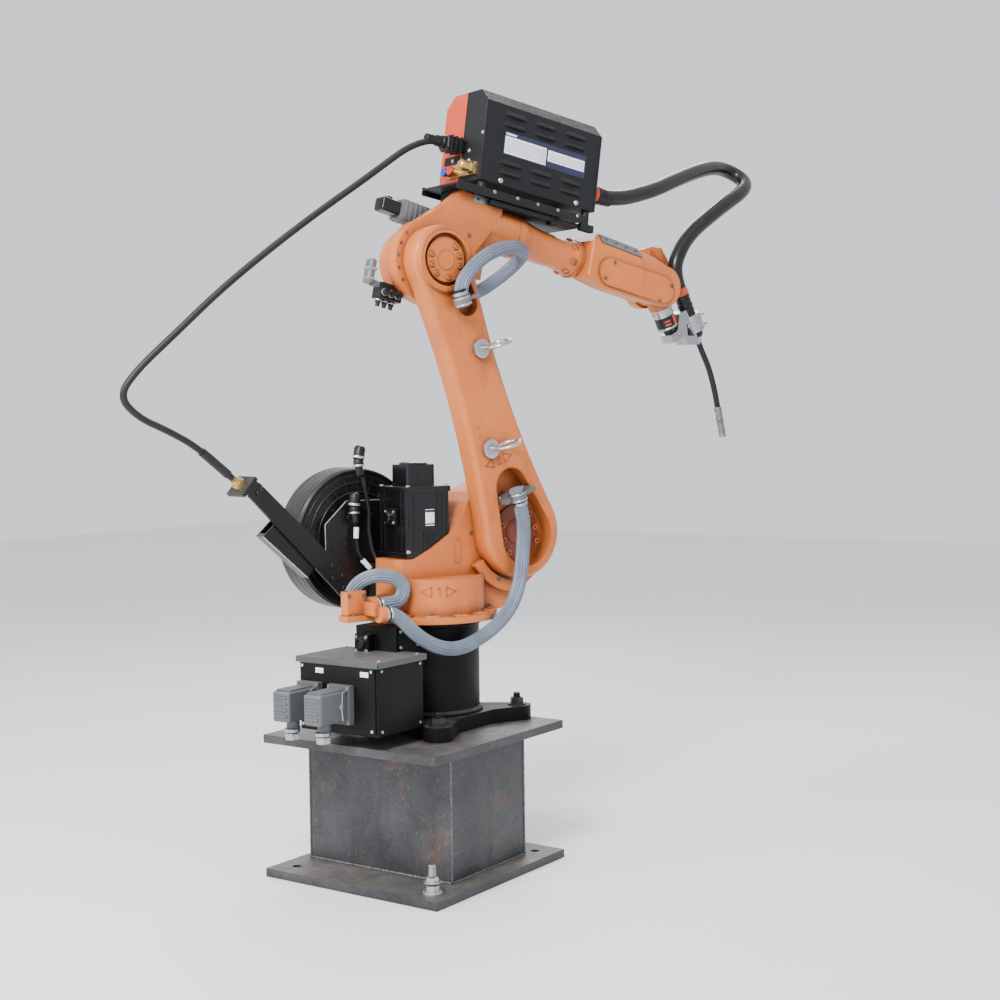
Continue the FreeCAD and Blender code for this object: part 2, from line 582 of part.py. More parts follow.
def lower_arm():
    arm = dog_bone(ARM_LOW_R, ARM_TOP_R, LOWER_ARM_L, ARM_SIDE_R, ARM_OUT_Y, ARM_IN_Y)
    arm = arm.makeFillet(ARM_EDGE_R, [e for e in arm.Edges if lies_at_y(e, ARM_OUT_Y)])
    floor_y = ARM_OUT_Y + POCKET_DEPTH
    pocket = tapered_slot(POCKET_LOW[0], POCKET_LOW[1], POCKET_LOW[2], POCKET_TOP[0], POCKET_TOP[1],
                          POCKET_TOP[2], ARM_OUT_Y - 1, floor_y)
    upper = tapered_slot(UPPER_LOW[0], UPPER_LOW[1], UPPER_LOW[2], UPPER_TOP[0], UPPER_TOP[1],
                         UPPER_TOP[2], ARM_OUT_Y - 1, ARM_OUT_Y + UPPER_POCKET_DEPTH)
    arm = arm.cut(pocket).cut(upper)
    ring = along_y(RING_OUT_R, 0, ARM_OUT_Y - RING_T, ARM_OUT_Y + SEAT, LOWER_ARM_L)
    bore = along_y(RING_IN_R, 0, ARM_OUT_Y - RING_T - 1, ARM_OUT_Y + RING_T, LOWER_ARM_L)
    arm = arm.fuse(ring).cut(bore).removeSplitter()
    add("lower_arm", arm, LOWER)
    cover = along_y(GEAR_COVER_R, 0, floor_y - GEAR_COVER_T, floor_y, 0)
    add("shoulder_gear_cover", cover, LOWER)
    cap = along_y(PIVOT_CAP_R, 0, ARM_OUT_Y - RING_T / 2, ARM_OUT_Y + RING_T, LOWER_ARM_L)
    add("elbow_pivot_cap", cap, LOWER)
    for name, x, z in (("cable_ring_lower",) + RING_LOW_AT, ("cable_ring_upper",) + RING_HIGH_AT):
        puck = along_y(PUCK_R, x, ARM_OUT_Y - PUCK_T, ARM_OUT_Y, z)
        hoop_y = ARM_OUT_Y - HOOP_OUT
        wire = Part.makeCircle(RING_WIRE_R, Vector(x + 2 * RING_R, hoop_y, z), Y_AXIS)
        hoop = Part.Face(Part.Wire(wire)).revolve(Vector(x + RING_R, hoop_y, z), Z_AXIS, 360)
        stem = along_y(STEM_R, x, hoop_y - RING_WIRE_R, ARM_OUT_Y - PUCK_T + SEAT, z)
        add(name, puck.fuse(stem).fuse(hoop), LOWER)
    for name, plate, x, depth in (("hose_clamp_lower", CLAMP_LOW, CLAMP_LOW_X, POCKET_DEPTH),
                                  ("hose_clamp_upper", CLAMP_HIGH, CLAMP_HIGH_X, UPPER_POCKET_DEPTH)):
        hose_y = ARM_OUT_Y - HOSE_OUT
        shelf = box(plate[0], plate[1], hose_y, ARM_OUT_Y + depth, plate[2], plate[3])
        nose = [(x, plate[2] - CLAMP_NOSE), (x + CLAMP_NOSE, plate[2]),
                (x, plate[3] + CLAMP_NOSE), (x - CLAMP_NOSE, plate[2])]
        shelf = shelf.common(prism(nose, hose_y - 1, 0))
        low = plate[2] - CLAMP_RING_RISE
        high = plate[3] + CLAMP_RING_RISE
        ring = along_z(CLAMP_R, x, hose_y, low, high)
        hose_room = along_z(GREY_HOSE_R + HOSE_FIT, x, hose_y, low - 1, high + 1)
        clamp = shelf.fuse(ring).cut(hose_room).cut(arm)
        add(name, clamp.removeSplitter(), LOWER)


# ---- elbow --------------------------------------------------------------------------------
HOSE_GLAND_AT = Vector(84, -22, -24)
HOSE_GLAND_RUN = Vector(0.961, 0, -0.276)
HOSE_GLAND_FREE = 36.0
ROOT_SETBACK = 20.0
PLUG_EDGE_R = 6.0
PLUG_NECK_HALF = 6.0
CAP_EDGE_R = 4.0


def elbow():
    plate_end = CASTING_Y + ELBOW_PLATE_T
    barrel = along_y(ELBOW_R, 0, CASTING_Y, plate_end, 0)
    skirt = prism(SKIRT_OUTLINE, CASTING_Y, plate_end)
    core = along_y(ELBOW_CORE_R, 0, plate_end - SEAT, ELBOW_FAR_Y, 0)
    x0, x1, z0, z1 = NECK_BLOCK
    neck = box(x0, x1, plate_end - SEAT, ELBOW_FAR_Y, z0, z1)
    root = revolved([(x0 + ROOT_SETBACK, ROOT_R), (ROOT_END, ROOT_R)], FOREARM_OFFSET)
    root = root.cut(box(x0, x1, 2 * CASTING_Y, CASTING_Y, 0, 2 * FOREARM_OFFSET))
    gland_end = HOSE_GLAND_AT + HOSE_GLAND_RUN * GLAND_L
    gland = cylinder(GREY_HOSE_R + GLAND_LIP, HOSE_GLAND_AT - HOSE_GLAND_RUN * GLAND_L, gland_end)
    body = barrel.fuse([skirt, core, neck, root, gland]).removeSplitter()
    add("elbow_housing", body, ELBOW)
    x0, x1, y0, y1, z0, z1 = WRIST_MOTOR
    motor = box(x0, x1, y0, y1, z0, z1).cut(body)
    add("wrist_motor", motor, ELBOW)
    cap = box(WRIST_MOTOR_CAP[0], x0, WRIST_MOTOR_CAP[1], WRIST_MOTOR_CAP[2], WRIST_MOTOR_CAP[3],
              WRIST_MOTOR_CAP[4])
    add("wrist_motor_cap", rounded(cap, CAP_EDGE_R, every_edge), ELBOW)
    motor = along_y(ELBOW_MOTOR_R, ELBOW_MOTOR_AT[0], ELBOW_FAR_Y, ELBOW_FAR_Y + ELBOW_MOTOR_L,
                    ELBOW_MOTOR_AT[1])
    add("elbow_motor", motor, ELBOW)
    x0, x1, y0, y1, z0, z1 = JUNCTION
    cluster = box(x0, x1, y0, y1, z0, z1).cut(body)
    add("cable_junction", cluster, ELBOW)
    x0, x1, y0, y1, z0, z1 = WHITE_PLUG
    plug = rounded(box(x0, x1, y0, y1, z0, z1), PLUG_EDGE_R, every_edge)
    neck_z = JUNCTION[5]
    neck = box(x1 - SEAT, JUNCTION[0], -PLUG_NECK_HALF, PLUG_NECK_HALF, neck_z - 2 * PLUG_NECK_HALF, neck_z)
    add("elbow_plug", plug.fuse(neck).removeSplitter(), ELBOW)


# ---- wire feeder ----------------------------------------------------------------------------
POST_R = 9.0
POST_INSET_X = 15.0
POST_INSET_Y = 9.0
FEEDER_FOOT = (-20.0, 50.0, -32.0, 42.0, -60.0)
CONNECTOR_L = 46.0
CONNECTOR_HALF = (18.0, 15.0)
PORT_BLOCK = (-6.0, 0.0, -52.0, 46.0, 12.0, 38.0)
SMALL_PORTS = ((14.0, 22.0), (36.0, 22.0))
SMALL_PORT = (8.0, -20.0)
GAS_PORT = (11.0, -34.0, -40.0, 26.0)


def feeder():
    y0, y1 = FEEDER_Y
    top = FEEDER_H
    side = top - FEEDER_CHAMFER
    near = [(y0, 0), (y0, side), (y0 + FEEDER_CHAMFER, top), (FEEDER_SPLIT, top), (FEEDER_SPLIT, 0)]
    far = [(FEEDER_SPLIT, 0), (FEEDER_SPLIT, top), (y1 - FEEDER_CHAMFER, top), (y1, side), (y1, 0)]
    add("feeder_lid", prism_x(near, 0, FEEDER_L), FEEDER)
    add("feeder_body", prism_x(far, 0, FEEDER_L), FEEDER)
    x0, x1, y0, y1 = FEEDER_PLATE
    z0, z1 = FEEDER_PLATE_Z
    plate = box(x0, x1, y0, y1, z0, z1)
    for x in (POST_INSET_X, FEEDER_L - POST_INSET_X):
        for y in (y0 + POST_INSET_Y, y1 - POST_INSET_Y):
            plate = plate.fuse(along_z(POST_R, x, y, z1 - SEAT, 0))
    plate = plate.removeSplitter()
    cap = NODES["elbow_housing"].copy()
    cap.Placement = FEEDER.inverse() * cap.Placement
    x0, x1, y0, y1, low = FEEDER_FOOT
    foot = box(x0, x1, y0, y1, low, z0 + SEAT).cut(cap)
    add("feeder_plate", plate.cut(cap), FEEDER)
    solids = sorted(foot.Solids, key=lambda s: s.Volume)
    add("feeder_foot", solids[-1].cut(plate), FEEDER)
    wide, tall = CONNECTOR_HALF
    rear = box(-CONNECTOR_L, 0, INLET_Y - wide, INLET_Y + wide, INLET_Z - tall, INLET_Z + tall)
    add("feeder_connector", rounded(rear, HOOD_EDGE_R, every_edge), FEEDER)
    x0, x1, y0, y1, z0, z1 = PORT_BLOCK
    ports = [along_x(SMALL_PORT[0], SMALL_PORT[1], 0, y, z) for y, z in SMALL_PORTS]
    ports.append(along_x(GAS_PORT[0], GAS_PORT[1], 0, GAS_PORT[2], GAS_PORT[3]))
    add("feeder_hose_ports", box(x0, x1, y0, y1, z0, z1).fuse(ports).removeSplitter(), FEEDER)
    add("feeder_outlet", along_x(OUTLET_R, FEEDER_L, FEEDER_L + OUTLET_L, OUTLET_Y, OUTLET_Z), FEEDER)


# ---- forearm and wrist -----------------------------------------------------------------------
COVER_LOW = (FOREARM_L - 178, 108.0, 31.0)
COVER_TOP = (FOREARM_L - 12, 112.0, 33.0)
COVER_T = 4.0
BITE_GAP = 6.0
SLOT_BELOW_X = FOREARM_L - 54
WRIST_EDGE_R = 5.0
SHORTEST_EDGE = 12.0
HAND_START = 10.0


def forearm():
    add("forearm_tube", revolved(TUBE_PROFILE, FOREARM_OFFSET), ELBOW)
    section = prism_x(HOUSING_SECTION, CHEEK_OUTLINE[0][0], 2 * FOREARM_L)
    body = prism(CHEEK_OUTLINE, -WRIST_Y, WRIST_FAR_Y).common(section)
    end = along_y(WRIST_END_R, FOREARM_L, -WRIST_Y, WRIST_FAR_Y, FOREARM_OFFSET)
    slot_y0 = HAND_Y - HUB_HALF - JOINT_GAP
    slot_y1 = HAND_Y + HUB_HALF + JOINT_GAP
    hump = prism(HUMP_OUTLINE, slot_y1, WRIST_FAR_Y)
    body = body.fuse([end, hump])
    bite = along_y(HUB_R + BITE_GAP, FOREARM_L, slot_y0, slot_y1, FOREARM_OFFSET)
    reach = FOREARM_L + 2 * WRIST_END_R
    below = box(SLOT_BELOW_X, reach, slot_y0, slot_y1, 0, FOREARM_OFFSET)
    ahead = box(FOREARM_L, reach, slot_y0, slot_y1, 0, 2 * FOREARM_OFFSET)
    body = body.cut(bite).cut(below).cut(ahead).removeSplitter()
    edges = [e for e in body.Edges if lies_at_y(e, -WRIST_Y) and e.Length > SHORTEST_EDGE]
    add("wrist_housing", body.makeFillet(WRIST_EDGE_R, edges), ELBOW)
    cover = tapered_slot(COVER_LOW[0], COVER_LOW[1], COVER_LOW[2], COVER_TOP[0], COVER_TOP[1],
                         COVER_TOP[2], -WRIST_Y - COVER_T, -WRIST_Y)
    add("wrist_cover", cover, ELBOW)
    hub = along_y(HUB_R, 0, -HUB_HALF, HUB_HALF, 0)
    hand = hub.fuse(along_x(HAND_R, HAND_START, HAND_L, 0, 0)).removeSplitter()
    add("wrist_hand", hand, HAND)


# ---- tool ------------------------------------------------------------------------------------
SENSOR_END_GAP = 10.0
STUD_R = 10.0
STUD_Z = -4.0
SENSOR_ROOM = 2.0


def torch():
    start = HAND_L + JOINT_GAP
    flange_end = start + TOOL_FLANGE_L
    sensor_end = flange_end + SENSOR_L
    add("tool_flange", along_x(TOOL_FLANGE_R, start, flange_end, 0, 0), HAND)
    body_end = sensor_end - SENSOR_END_GAP
    sensor = along_x(SENSOR_R, flange_end, body_end, 0, 0)
    stud = along_x(STUD_R, body_end - SEAT, BRACKET_OUTLINE[0][0], 0, STUD_Z)
    add("collision_sensor", sensor.fuse(stud).removeSplitter(), HAND)
    plate = prism(BRACKET_OUTLINE, -BRACKET_HALF, BRACKET_HALF)
    plate = plate.cut(prism(BRACKET_WINDOW, -BRACKET_HALF - 1, BRACKET_HALF + 1))
    ring = along_x(TORCH_CLAMP_R, CLAMP_ALONG[0], CLAMP_ALONG[1], 0, TORCH_OFFSET)
    bore = along_x(TORCH_R, 0, 2 * CLAMP_ALONG[1], 0, TORCH_OFFSET)
    sensor_room = along_x(SENSOR_R + SENSOR_ROOM, 0, body_end + SENSOR_ROOM, 0, 0)
    bracket = plate.fuse(ring).cut(bore).cut(sensor_room).removeSplitter()
    add("torch_bracket", bracket, HAND)
    body = along_x(TORCH_R, TORCH_X[0], TORCH_X[1], 0, TORCH_OFFSET)
    add("torch_body", body, HAND)
    path = [Vector(x, 0, z) for x, z in NECK_POINTS]
    neck, length, radii = tube(path, NECK_R)
    add("torch_neck", neck, HAND)
    heading = (path[-1] - path[-2]).normalize()
    add("torch_nozzle", cylinder(NOZZLE_R, path[-1], path[-1] + heading * NOZZLE_L), HAND)


# ---- hoses -------------------------------------------------------------------------------------
def point(frame, x, y, z):
    return frame.multVec(Vector(x, y, z))


def cords():
    torch_route = [
        point(FEEDER, FEEDER_L + OUTLET_L, OUTLET_Y, OUTLET_Z),
        point(FEEDER, FEEDER_L + OUTLET_L + 56, OUTLET_Y, OUTLET_Z),
        point(FEEDER, 519, -26, 100), point(FEEDER, 606, -6, 149), point(FEEDER, 697, 22, 195),
        point(FEEDER, 769, 46, 225), point(FEEDER, 820, 62, 237), point(FEEDER, 855, 57, 233),
        point(FEEDER, 870, 35, 217), point(FEEDER, 860, 13, 195), point(FEEDER, 826, -3, 167),
        point(FEEDER, 775, -10, 130), point(FEEDER, 717, -14, 82), point(FEEDER, 669, -16, 39),
        point(FEEDER, 637, -16, -5),
        point(HAND, TORCH_X[0] - 46, 0, TORCH_OFFSET), point(HAND, TORCH_X[0], 0, TORCH_OFFSET),
    ]
    conduit_route = [
        point(FEEDER, -CONNECTOR_L, INLET_Y, INLET_Z), point(FEEDER, -CONNECTOR_L - 54, INLET_Y, INLET_Z),
        point(FEEDER, -218, 26, -37),
        point(FEEDER, -320, 31, -131), point(FEEDER, -415, 37, -225), point(TURN, -457, 42, 897),
        point(TURN, -557, 47, 806), point(TURN, -628, 53, 742), point(TURN, -664, 60, 692),
        point(TURN, -622, 70, 652), point(TURN, -560, 77, 627), point(TURN, -500, 86, 598),
        point(TAB, FITTING_X[0] - 46, TAB_HOLE_Y, 0), point(TAB, FITTING_X[0], TAB_HOLE_Y, 0),
    ]
    hose_y = ARM_OUT_Y - HOSE_OUT
    collar_end = CLAMP_X[1] + COLLAR_L
    loop_route = [
        point(TURN, collar_end, COLLAR_HIGH[0], COLLAR_HIGH[1]),
        point(TURN, collar_end + 34, COLLAR_HIGH[0], COLLAR_HIGH[1]),
        point(TURN, -124, -65, 276), point(TURN, -113, -66, 294), point(TURN, -118, -63, 314),
        point(TURN, -142, -53, 327), point(TURN, -173, -36, 328), point(TURN, -197, -18, 311),
        point(TURN, -203, -4, 286), point(TURN, -190, 4, 268),
        point(TURN, -160, REAR_GLAND[0], REAR_GLAND[1]),
        point(TURN, SHELF_REAR - GLAND_L, REAR_GLAND[0], REAR_GLAND[1]),
    ]
    lower_route = [
        point(TURN, collar_end, COLLAR_LOW[0], COLLAR_LOW[1]),
        point(TURN, collar_end + 26, COLLAR_LOW[0], COLLAR_LOW[1]),
        point(TURN, -127, -124, 212), point(TURN, -80, -134, 182), point(TURN, -26, -134, 174),
        point(TURN, 26, -133, 190), point(TURN, 74, -131, 214), point(TURN, 115, -128, 248),
        point(TURN, 143, -122, 296), point(TURN, 154, -118, 352),
        point(LOWER, CLAMP_LOW_X - 7, hose_y, 18), point(LOWER, CLAMP_LOW_X, hose_y, 56),
        point(LOWER, CLAMP_LOW_X, hose_y, CLAMP_LOW[3] + 14),
    ]
    gland_end = HOSE_GLAND_AT + HOSE_GLAND_RUN * GLAND_L
    gland_run = gland_end + HOSE_GLAND_RUN * HOSE_GLAND_FREE
    upper_route = [
        point(LOWER, CLAMP_HIGH_X, hose_y, CLAMP_HIGH[2] - 8),
        point(LOWER, CLAMP_HIGH_X, hose_y, CLAMP_HIGH[3] + 22),
        point(TURN, 28, -118, 948), point(TURN, 68, -114, 977), point(TURN, 113, -106, 995),
        point(TURN, 158, -94, 1003), point(TURN, 197, -76, 1001), point(TURN, 218, -50, 990),
        point(TURN, 206, -26, 967), point(TURN, 174, -14, 940),
        ELBOW.multVec(gland_run), ELBOW.multVec(gland_end),
    ]
    routes = (("torch_hose", torch_route, TORCH_HOSE_R), ("wire_conduit", conduit_route, CONDUIT_R),
              ("grey_hose_loop", loop_route, GREY_HOSE_R), ("grey_hose_lower", lower_route, GREY_HOSE_R),
              ("grey_hose_upper", upper_route, GREY_HOSE_R))
    for name, route, radius in routes:
        body, length, radii = tube(route, radius)
        ideal = math.pi * radius * radius * length
        print(name, "length %.0f" % length, "volume ratio %.4f" % (body.Volume / ideal),
              "radii", [round(r) for r in radii])
        runs = [round((b - a).Length) for a, b in zip(route, route[1:])]
        print("    runs", runs)
        add(name, body, WORLD)


plinth()
robot_base()
rotating_column()
wire_spool()
lower_arm()
elbow()
feeder()
forearm()
torch()
cords()

os.makedirs("parts", exist_ok=True)
for node_name, node_shape in NODES.items():
    print(node_name, node_shape.isValid(), len(node_shape.Solids), round(node_shape.Volume))
    node_shape.exportStep("parts/%s.step" % node_name)
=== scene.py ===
from math import atan2, cos, pi, radians, sin, sqrt

import bmesh
import bpy
from mathutils import Matrix, Vector


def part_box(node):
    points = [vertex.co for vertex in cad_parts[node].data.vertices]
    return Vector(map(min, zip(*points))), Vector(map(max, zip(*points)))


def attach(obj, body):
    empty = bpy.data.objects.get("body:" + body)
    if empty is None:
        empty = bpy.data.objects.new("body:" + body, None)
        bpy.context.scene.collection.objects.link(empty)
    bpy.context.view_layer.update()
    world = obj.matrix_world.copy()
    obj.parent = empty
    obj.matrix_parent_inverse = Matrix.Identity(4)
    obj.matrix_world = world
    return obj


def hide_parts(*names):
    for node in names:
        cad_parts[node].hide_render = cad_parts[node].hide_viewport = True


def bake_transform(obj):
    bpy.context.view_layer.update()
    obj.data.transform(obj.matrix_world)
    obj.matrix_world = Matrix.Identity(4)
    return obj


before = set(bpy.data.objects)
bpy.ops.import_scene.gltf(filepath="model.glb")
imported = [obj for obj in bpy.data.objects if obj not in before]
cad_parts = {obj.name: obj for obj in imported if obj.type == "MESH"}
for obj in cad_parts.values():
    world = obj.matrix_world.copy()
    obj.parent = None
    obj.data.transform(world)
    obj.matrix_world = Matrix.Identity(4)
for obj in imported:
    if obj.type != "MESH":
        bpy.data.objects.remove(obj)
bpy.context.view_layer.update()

# ---- frames: every local size below is in millimetres in one of these
MM = 0.001


def turned(axis, degrees, x, y, z):
    return Matrix.Translation(Vector((x, y, z)) * MM) @ Matrix.Rotation(radians(degrees), 4, axis)


ROW = Matrix.Identity(4)
BASE = turned("Z", 0, 53, -5, 295)
TURN = turned("Z", -17.5, 53, -5, 295)
LOWER = TURN @ turned("Y", -19.3, 180, 0, 400)
ELBOW = LOWER @ turned("Y", 32.3, 0, 0, 600)
HAND = ELBOW @ turned("Y", 50, 640, -15, 124)
FEEDER = ELBOW @ turned("Y", -4.5, 70, 0, 197)
TAB = TURN @ turned("Y", 40, -394, 68, 515)


UP = (0, 0, 1)
NEAR = (0, -1, 0)
REAR = (-1, 0, 0)
FRONT = (1, 0, 0)


def at(place, x, y, z):
    return place @ (Vector((x, y, z)) * MM)


# ---- material nodes
class Net:
    """A node tree with short calls for adding and joining nodes."""

    def __init__(self, name):
        self.material = bpy.data.materials.new(name)
        self.material.use_nodes = True
        self.tree = self.material.node_tree
        self.tree.nodes.clear()
        self.coord = self.add("TexCoord")
        self.shader = self.add("BsdfPrincipled")
        output = self.add("OutputMaterial")
        self.join(self.shader.outputs[0], output.inputs[0])

    def join(self, source, target):
        self.tree.links.new(source, target)

    def add(self, kind, **values):
        node = self.tree.nodes.new("ShaderNode" + kind)
        for socket, value in values.items():
            node.inputs[socket].default_value = value
        return node

    def noise(self, scale, detail=5, roughness=0.6, stretch=(1, 1, 1), turn=(0, 0, 0)):
        node = self.add("TexNoise", Scale=scale, Detail=detail, Roughness=roughness)
        place = self.add("Mapping", Scale=stretch, Rotation=turn)
        self.join(self.coord.outputs["Object"], place.inputs["Vector"])
        self.join(place.outputs[0], node.inputs["Vector"])
        return node.outputs[0]

    def ramp(self, source, stops):
        node = self.add("ValToRGB")
        while len(node.color_ramp.elements) < len(stops):
            node.color_ramp.elements.new(0.5)
        for element, (place, colour) in zip(node.color_ramp.elements, stops):
            element.position = place
            element.color = (*colour, 1)
        self.join(source, node.inputs[0])
        return node.outputs[0]

    def span(self, source, low, high, first, last):
        node = self.add("MapRange")
        for index, value in enumerate((low, high, first, last)):
            node.inputs[index + 1].default_value = value
        self.join(source, node.inputs[0])
        return node.outputs[0]

    def times(self, one, other):
        node = self.add("Math")
        node.operation = "MULTIPLY"
        self.join(one, node.inputs[0])
        self.join(other, node.inputs[1])
        return node.outputs[0]

    def mix(self, factor, first, second):
        node = self.add("Mix")
        node.data_type = "RGBA"
        self.join(factor, node.inputs[0])
        self.join(first, node.inputs[6])
        if isinstance(second, tuple):
            node.inputs[7].default_value = (*second, 1)
        else:
            self.join(second, node.inputs[7])
        return node.outputs[2]

    def bump(self, height, strength, depth, below=None):
        node = self.add("Bump", Strength=strength, Distance=depth)
        self.join(height, node.inputs["Height"])
        if below is not None:
            self.join(below, node.inputs["Normal"])
        return node.outputs[0]


DUST = (0.34, 0.31, 0.27)
RUST = (0.20, 0.075, 0.03)
NODE_SAMPLES = 4
# how far the painted shade in creases looks for nearby surfaces, in metres
CREASE_SHADE_REACH = 0.025


def shade(tone, factor, lift=0.0):
    return tuple(min(1.0, c * factor + lift) for c in tone)


def surface(name, tone, spread=0.18, rough=(0.4, 0.55), metallic=0.0, blotch=6.0, grain=420.0,
            depth=0.0004, strength=0.25, dust=0.0, rust=0.0, scratch=0.0, edge=0.0, coat=0.0, grime=0.25,
            shine=0.5, speckle=0.0, crease_shade=0.0):
    """Colour that drifts, fine grain, wear, dust that settles on top, rust in patches and painted shade in
    creases.
    """
    net = Net(name)
    dark = shade(tone, 1 - spread)
    light = shade(tone, 1 + spread)
    drift = net.noise(blotch, 7)
    colour = net.ramp(drift, [(0.32, dark), (0.5, tone), (0.68, light)])
    streaks = net.noise(22, 5, 0.65, stretch=(1, 1, 0.18))
    colour = net.mix(net.span(streaks, 0.56, 0.78, 0.0, grime), colour, shade(tone, 0.35))
    roughness = net.span(drift, 0.3, 0.7, rough[0], rough[1])
    if scratch:
        lines = net.noise(9, 2, 0.5, stretch=(2, 60, 60), turn=(0.2, 0.5, 0.4))
        colour = net.mix(net.span(lines, 0.66, 0.74, 0.0, scratch), colour, shade(tone, 2.4, 0.05))
    if rust:
        patch = net.times(net.span(net.noise(13, 8, 0.7), 0.52, 0.66, 0.0, 1.0),
                net.span(net.noise(3.2, 3), 0.42, 0.62, 0.0, rust))
        colour = net.mix(patch, colour, RUST)
    if speckle:
        spots = net.span(net.noise(150, 4, 0.75), 0.58, 0.72, 0.0, speckle)
        colour = net.mix(net.times(spots, net.span(net.noise(7, 4), 0.35, 0.65, 0.2, 1.0)), colour,
                shade(tone, 2.6, 0.06))
        pits = net.span(net.noise(90, 5, 0.7), 0.3, 0.42, speckle, 0.0)
        colour = net.mix(pits, colour, shade(tone, 0.3))
    if dust:
        split = net.add("SeparateXYZ")
        net.join(net.coord.outputs["Normal"], split.inputs[0])
        up = net.span(split.outputs[2], 0.1, 0.95, 0.0, dust)
        patch = net.times(up, net.span(net.noise(30, 6), 0.3, 0.75, 0.25, 1.0))
        colour = net.mix(patch, colour, DUST)
    # painted shade: where the ambient occlusion node finds a crease or recess, the colour darkens towards
    # a quarter of the tone
    if crease_shade:
        near = net.add("AmbientOcclusion", Distance=CREASE_SHADE_REACH)
        near.samples = NODE_SAMPLES
        colour = net.mix(net.span(near.outputs["AO"], 0.35, 0.9, crease_shade, 0.0), colour, shade(tone, 0.25))
    below = None
    if edge:
        soft = net.add("Bevel", Radius=edge)
        soft.samples = NODE_SAMPLES
        below = soft.outputs[0]
    normal = net.bump(net.noise(grain, 3), strength, depth, below)
    shader = net.shader
    net.join(colour, shader.inputs["Base Color"])
    net.join(roughness, shader.inputs["Roughness"])
    net.join(normal, shader.inputs["Normal"])
    shader.inputs["Metallic"].default_value = metallic
    shader.inputs["Coat Weight"].default_value = coat
    shader.inputs["Specular IOR Level"].default_value = shine
    shader.inputs["Coat Roughness"].default_value = 0.15
    return net.material


FINISH = {
    "steel_plate": surface("mill_scale", (0.048, 0.050, 0.054), 0.6, (0.36, 0.62), 0.4, 5, 260, 0.0005,
        0.35, dust=0.45, rust=0.3, scratch=0.35, edge=0.001, grime=0.6, speckle=0.8, crease_shade=0.7),
    "black_casting": surface("black_casting_paint", (0.0022, 0.0022, 0.0026), 0.3, (0.4, 0.58), grain=240,
        dust=0.16, edge=0.003, scratch=0.06, shine=0.16, speckle=0.12),
    "connector_grey": surface("grey_hood", (0.085, 0.093, 0.10), 0.2, (0.4, 0.55), 0.2, dust=0.3,
        edge=0.001),
    "orange_paint": surface("orange_paint", (0.54, 0.142, 0.031), 0.14, (0.34, 0.46), grain=300,
        depth=0.0005, strength=0.25, dust=0.04, edge=0.004, coat=0.1, grime=0.45, shine=0.35, crease_shade=0.75),
    "motor_black": surface("motor_black", (0.004, 0.004, 0.005), 0.2, (0.16, 0.3), grain=380, edge=0.002,
        dust=0.14, coat=0.12, shine=0.35),
    "spool_black": surface("spool_black", (0.005, 0.005, 0.006), 0.25, (0.24, 0.4), grain=300, edge=0.002,
        dust=0.12, scratch=0.25, shine=0.35),
    "bracket_grey": surface("dark_bracket", (0.007, 0.0072, 0.008), 0.25, (0.42, 0.56), grain=600,
        edge=0.001, dust=0.14, scratch=0.3, shine=0.3),
    "bright_steel": surface("bright_steel", (0.46, 0.46, 0.47), 0.15, (0.2, 0.4), 0.95, grain=500,
        edge=0.0006),
    "clamp_grey": surface("clamp_grey", (0.14, 0.147, 0.155), 0.2, (0.35, 0.5), 0.4, edge=0.001, dust=0.1,
        crease_shade=0.6),
    "junction_black": surface("junction_black", (0.006, 0.006, 0.007), 0.25, (0.34, 0.5), grain=500,
        edge=0.001, shine=0.3),
    "feeder_grey": surface("feeder_powder_coat", (0.0075, 0.0078, 0.009), 0.12, (0.44, 0.56), grain=900,
        depth=0.0006, strength=0.5, edge=0.0015, dust=0.08, shine=0.28),
    "feeder_red": surface("feeder_red", (0.52, 0.05, 0.011), 0.08, (0.38, 0.5), grain=800, depth=0.0004,
        edge=0.0015, dust=0.1),
    "brass": surface("brass", (0.55, 0.38, 0.14), 0.2, (0.25, 0.42), 0.9, grain=500, edge=0.0006),
    "sensor_black": surface("sensor_black", (0.006, 0.006, 0.007), 0.2, (0.32, 0.46), grain=500,
        edge=0.001, shine=0.35),
    "bracket_silver": surface("milled_aluminium", (0.36, 0.37, 0.38), 0.15, (0.3, 0.45), 0.85, grain=350,
        edge=0.0012, crease_shade=0.5),
    "neck_black": surface("neck_black", (0.006, 0.006, 0.006), 0.3, (0.34, 0.5), grain=400, scratch=0.3,
        shine=0.35),
    "nozzle_steel": surface("heat_tinted_steel", (0.25, 0.23, 0.2), 0.45, (0.35, 0.6), 0.9, blotch=60,
        grain=500, edge=0.0005),
    "black_hose": surface("black_hose", (0.005, 0.005, 0.006), 0.2, (0.26, 0.4), blotch=18, grain=500,
        dust=0.06, scratch=0.12, shine=0.4),
    "black_conduit": surface("black_conduit", (0.009, 0.009, 0.010), 0.25, (0.4, 0.56), blotch=14,
        grain=420, dust=0.1, shine=0.35),
    "grey_hose": surface("grey_hose", (0.125, 0.155, 0.205), 0.2, (0.42, 0.56), blotch=22, grain=300,
        dust=0.2),
}
